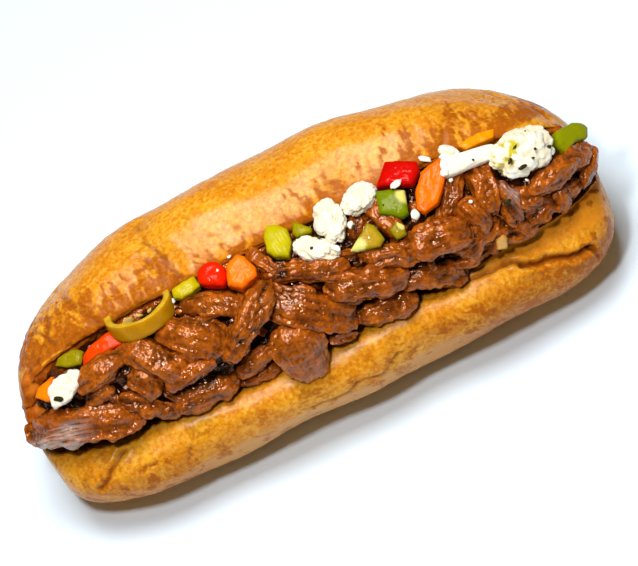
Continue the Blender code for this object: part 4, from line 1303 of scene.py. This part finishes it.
# %% Vegetables
def vegetable_finish(name, skin, flesh, speck, gloss, soft, mask="edge", relief=0.12, pale=(212, 204, 108)):
    """Flesh under skin by the named attribute, then specks and pale places, with a gloss and softness."""
    material, tree, shader, place = new_material(name)
    cover = soft_step(tree, attribute(tree, mask), 0.55, 0.95)
    colour = lay_over(tree, blend(tree, cover, paint(*flesh), paint(*skin)), [
        (times(tree, mottle(tree, place, 3.5, 0.5, 0.2), 0.45), paint(*speck)),
        (times(tree, mottle(tree, place, 0.9, 0.62, 0.06), 0.35), paint(*speck)),
        (attribute(tree, "pale"), paint(*pale)),
    ])
    fill_inputs(tree, shader, {
        "Base Color": colour,
        "Roughness": value_range(tree, mottle(tree, place, 1.8, 0.5, 0.25), gloss, gloss + 0.08),
        "Normal": bump_normal(tree, relief_height(tree, place, 1.6, 0.5, 0.3), relief, 0.0003),
        "Specular IOR Level": 0.03,
        "Coat Weight": 0.10,
        "Coat Roughness": 0.06,
        "Subsurface Weight": soft,
        "Subsurface Radius": (0.003, 0.002, 0.001),
        "Subsurface Scale": 1.0,
    })
    return material


# %% The colours of each vegetable
# Skin, flesh and speck, then gloss and softness.
SKINS = {
    "carrot_1": ((230, 100, 4), (238, 122, 6), (244, 138, 10), 0.16, 0.15),
    "carrot_2": ((234, 106, 6), (240, 132, 10), (230, 92, 6), 0.16, 0.15),
    "carrot_3": ((228, 90, 2), (236, 108, 2), (242, 124, 6), 0.16, 0.15),
    "carrot_4": ((236, 140, 4), (240, 150, 6), (230, 120, 4), 0.18, 0.15),
    "pepper_red_1": ((210, 60, 2), (222, 74, 4), (200, 34, 2), 0.12, 0.1),
    "pepper_red_2": ((222, 26, 2), (230, 40, 4), (210, 18, 2), 0.10, 0.1),
    "pepper_red_3": ((190, 10, 4), (206, 14, 4), (172, 4, 2), 0.12, 0.1),
    "pepper_green_1": ((138, 124, 2), (148, 134, 6), (116, 98, 2), 0.14, 0.15),
    "pepper_green_2": ((180, 160, 4), (200, 176, 14), (160, 146, 4), 0.14, 0.15),
    "pepper_green_3": ((140, 132, 4), (164, 148, 8), (118, 112, 4), 0.14, 0.15),
    "pepper_green_4": ((142, 128, 12), (186, 148, 34), (158, 122, 16), 0.12, 0.2),
    "pepper_green_5": ((108, 124, 2), (124, 134, 4), (96, 112, 2), 0.12, 0.15),
    "pepper_green_6": ((134, 116, 6), (158, 132, 20), (108, 92, 4), 0.12, 0.15),
    "pepper_green_7": ((124, 132, 2), (138, 142, 6), (146, 144, 6), 0.12, 0.15),
    "celery_1": ((186, 170, 4), (196, 178, 8), (166, 156, 4), 0.18, 0.15),
    "onion_1": ((190, 140, 66), (206, 160, 92), (166, 112, 44), 0.3, 0.15),
    "cauliflower_stalk_1": ((242, 230, 208), (240, 226, 198), (248, 240, 222), 0.3, 0.15),
}
for name, piece in slab_pieces.items():
    finish_pieces([piece], vegetable_finish(name + " cut", *SKINS[name]))
finish_pieces([*floret_pieces.values(), crumb_bits], vegetable_finish(
    "cauliflower buds", (246, 239, 222), (234, 220, 188), (238, 226, 196), 0.4, 0.2, mask="bud", relief=0.6,
    pale=(196, 178, 30),
))
finish_pieces([ring_piece], vegetable_finish(
    "pickled ring", (190, 132, 8), (206, 168, 40), (160, 102, 4), 0.12, 0.15,
))
finish_pieces([ring_seeds], vegetable_finish(
    "pepper seed", (206, 178, 96), (206, 178, 96), (160, 120, 44), 0.3, 0.1, mask="bud",
))
finish_pieces([herb_flakes], vegetable_finish(
    "herb", (52, 48, 14), (52, 48, 14), (22, 20, 8), 0.45, 0.0, mask="bud",
))

# %% [markdown]
# ## Floor and light
#
# The sandwich lies on a plain white floor. A large soft lamp almost overhead gives the broad highlight along
# both halves of the roll and a soft shadow close below it. A small bright lamp in front reaches under the
# slices and gives the juice its small white glints. A faint even light from the world fills the shadows.

# %% Stage and light
FLOOR_HALF = 2.0
floor_mesh = bpy.data.meshes.new("floor")
corner_signs = ((-1, -1), (1, -1), (1, 1), (-1, 1))
floor_mesh.from_pydata([(a * FLOOR_HALF, b * FLOOR_HALF, 0) for a, b in corner_signs], [], [(0, 1, 2, 3)])
floor = bpy.data.objects.new("floor", floor_mesh)
bpy.context.scene.collection.objects.link(floor)
floor_material, floor_tree, floor_shader, _ = new_material("floor")
fill_inputs(floor_tree, floor_shader, {
    "Base Color": (0.78, 0.90, 1.0, 1.0), "Roughness": 0.9, "Specular IOR Level": 0.0,
})
floor_mesh.materials.append(floor_material)

world = bpy.data.worlds.new("studio")
bpy.context.scene.world = world
world.use_nodes = True
fill_inputs(world.node_tree, world.node_tree.nodes["Background"], {
    "Color": (1.0, 1.0, 1.0, 1.0), "Strength": 0.08,
})


def area_light(name, place, target, size, power):
    """A square soft light at place that faces target, in metres and watts."""
    light = bpy.data.lights.new(name, "AREA")
    light.energy, light.shape, light.size = power, "SQUARE", size
    lamp = bpy.data.objects.new(name, light)
    bpy.context.scene.collection.objects.link(lamp)
    lamp.location = place
    lamp.rotation_mode = "QUATERNION"
    lamp.rotation_quaternion = (Vector(target) - Vector(place)).to_track_quat("-Z", "Y")
    return lamp


LIT_PLACE = (0.0, 0.0, 0.03)
area_light("overhead", (0.0, -0.02, 1.0), LIT_PLACE, 0.44, 9.6)
area_light("front", (-0.12, -0.40, 0.90), LIT_PLACE, 0.09, 4.2)

# %% [markdown]
# ## The camera
#
# The camera looks straight into the mouth, so it is tilted down by the mouth's lean, and it is rolled so
# that the sandwich rises to the right. It stands well back, and its lens is found from how wide the frame
# has to be at the depth of the filling, so the sandwich keeps its size if the distance changes a little.

# %% Camera
CAMERA_ROLL, CAMERA_DISTANCE = math.radians(26.2), 1.6
# The frame has this width, in metres, at this distance out of the mouth.
FRAME_WIDTH, FRAMED_OUT = 0.2113, 0.022
AIM_RIGHT, AIM_UP = 0.0040, 0.0002
level_right = Vector((1, 0, 0))
level_up = Vector((0, math.sin(LEAN), math.cos(LEAN)))
right = level_right * math.cos(CAMERA_ROLL) - level_up * math.sin(CAMERA_ROLL)
up = level_right * math.sin(CAMERA_ROLL) + level_up * math.cos(CAMERA_ROLL)
back = right.cross(up)
aim = Vector((0, MIDDLE_Y * MM, MOUTH_HEIGHT * MM)) + right * AIM_RIGHT + up * AIM_UP
camera_data = bpy.data.cameras.new("camera")
camera_data.lens = camera_data.sensor_width * (CAMERA_DISTANCE - FRAMED_OUT) / FRAME_WIDTH
camera_data.clip_end = 20.0
camera = bpy.data.objects.new("camera", camera_data)
bpy.context.scene.collection.objects.link(camera)
camera.matrix_world = (
    Matrix.Translation(aim + back * CAMERA_DISTANCE) @ Matrix((right, up, back)).transposed().to_4x4()
)
bpy.context.scene.camera = camera
bpy.context.scene.view_settings.view_transform = "Standard"
print("lens in mm:", round(camera_data.lens, 1))
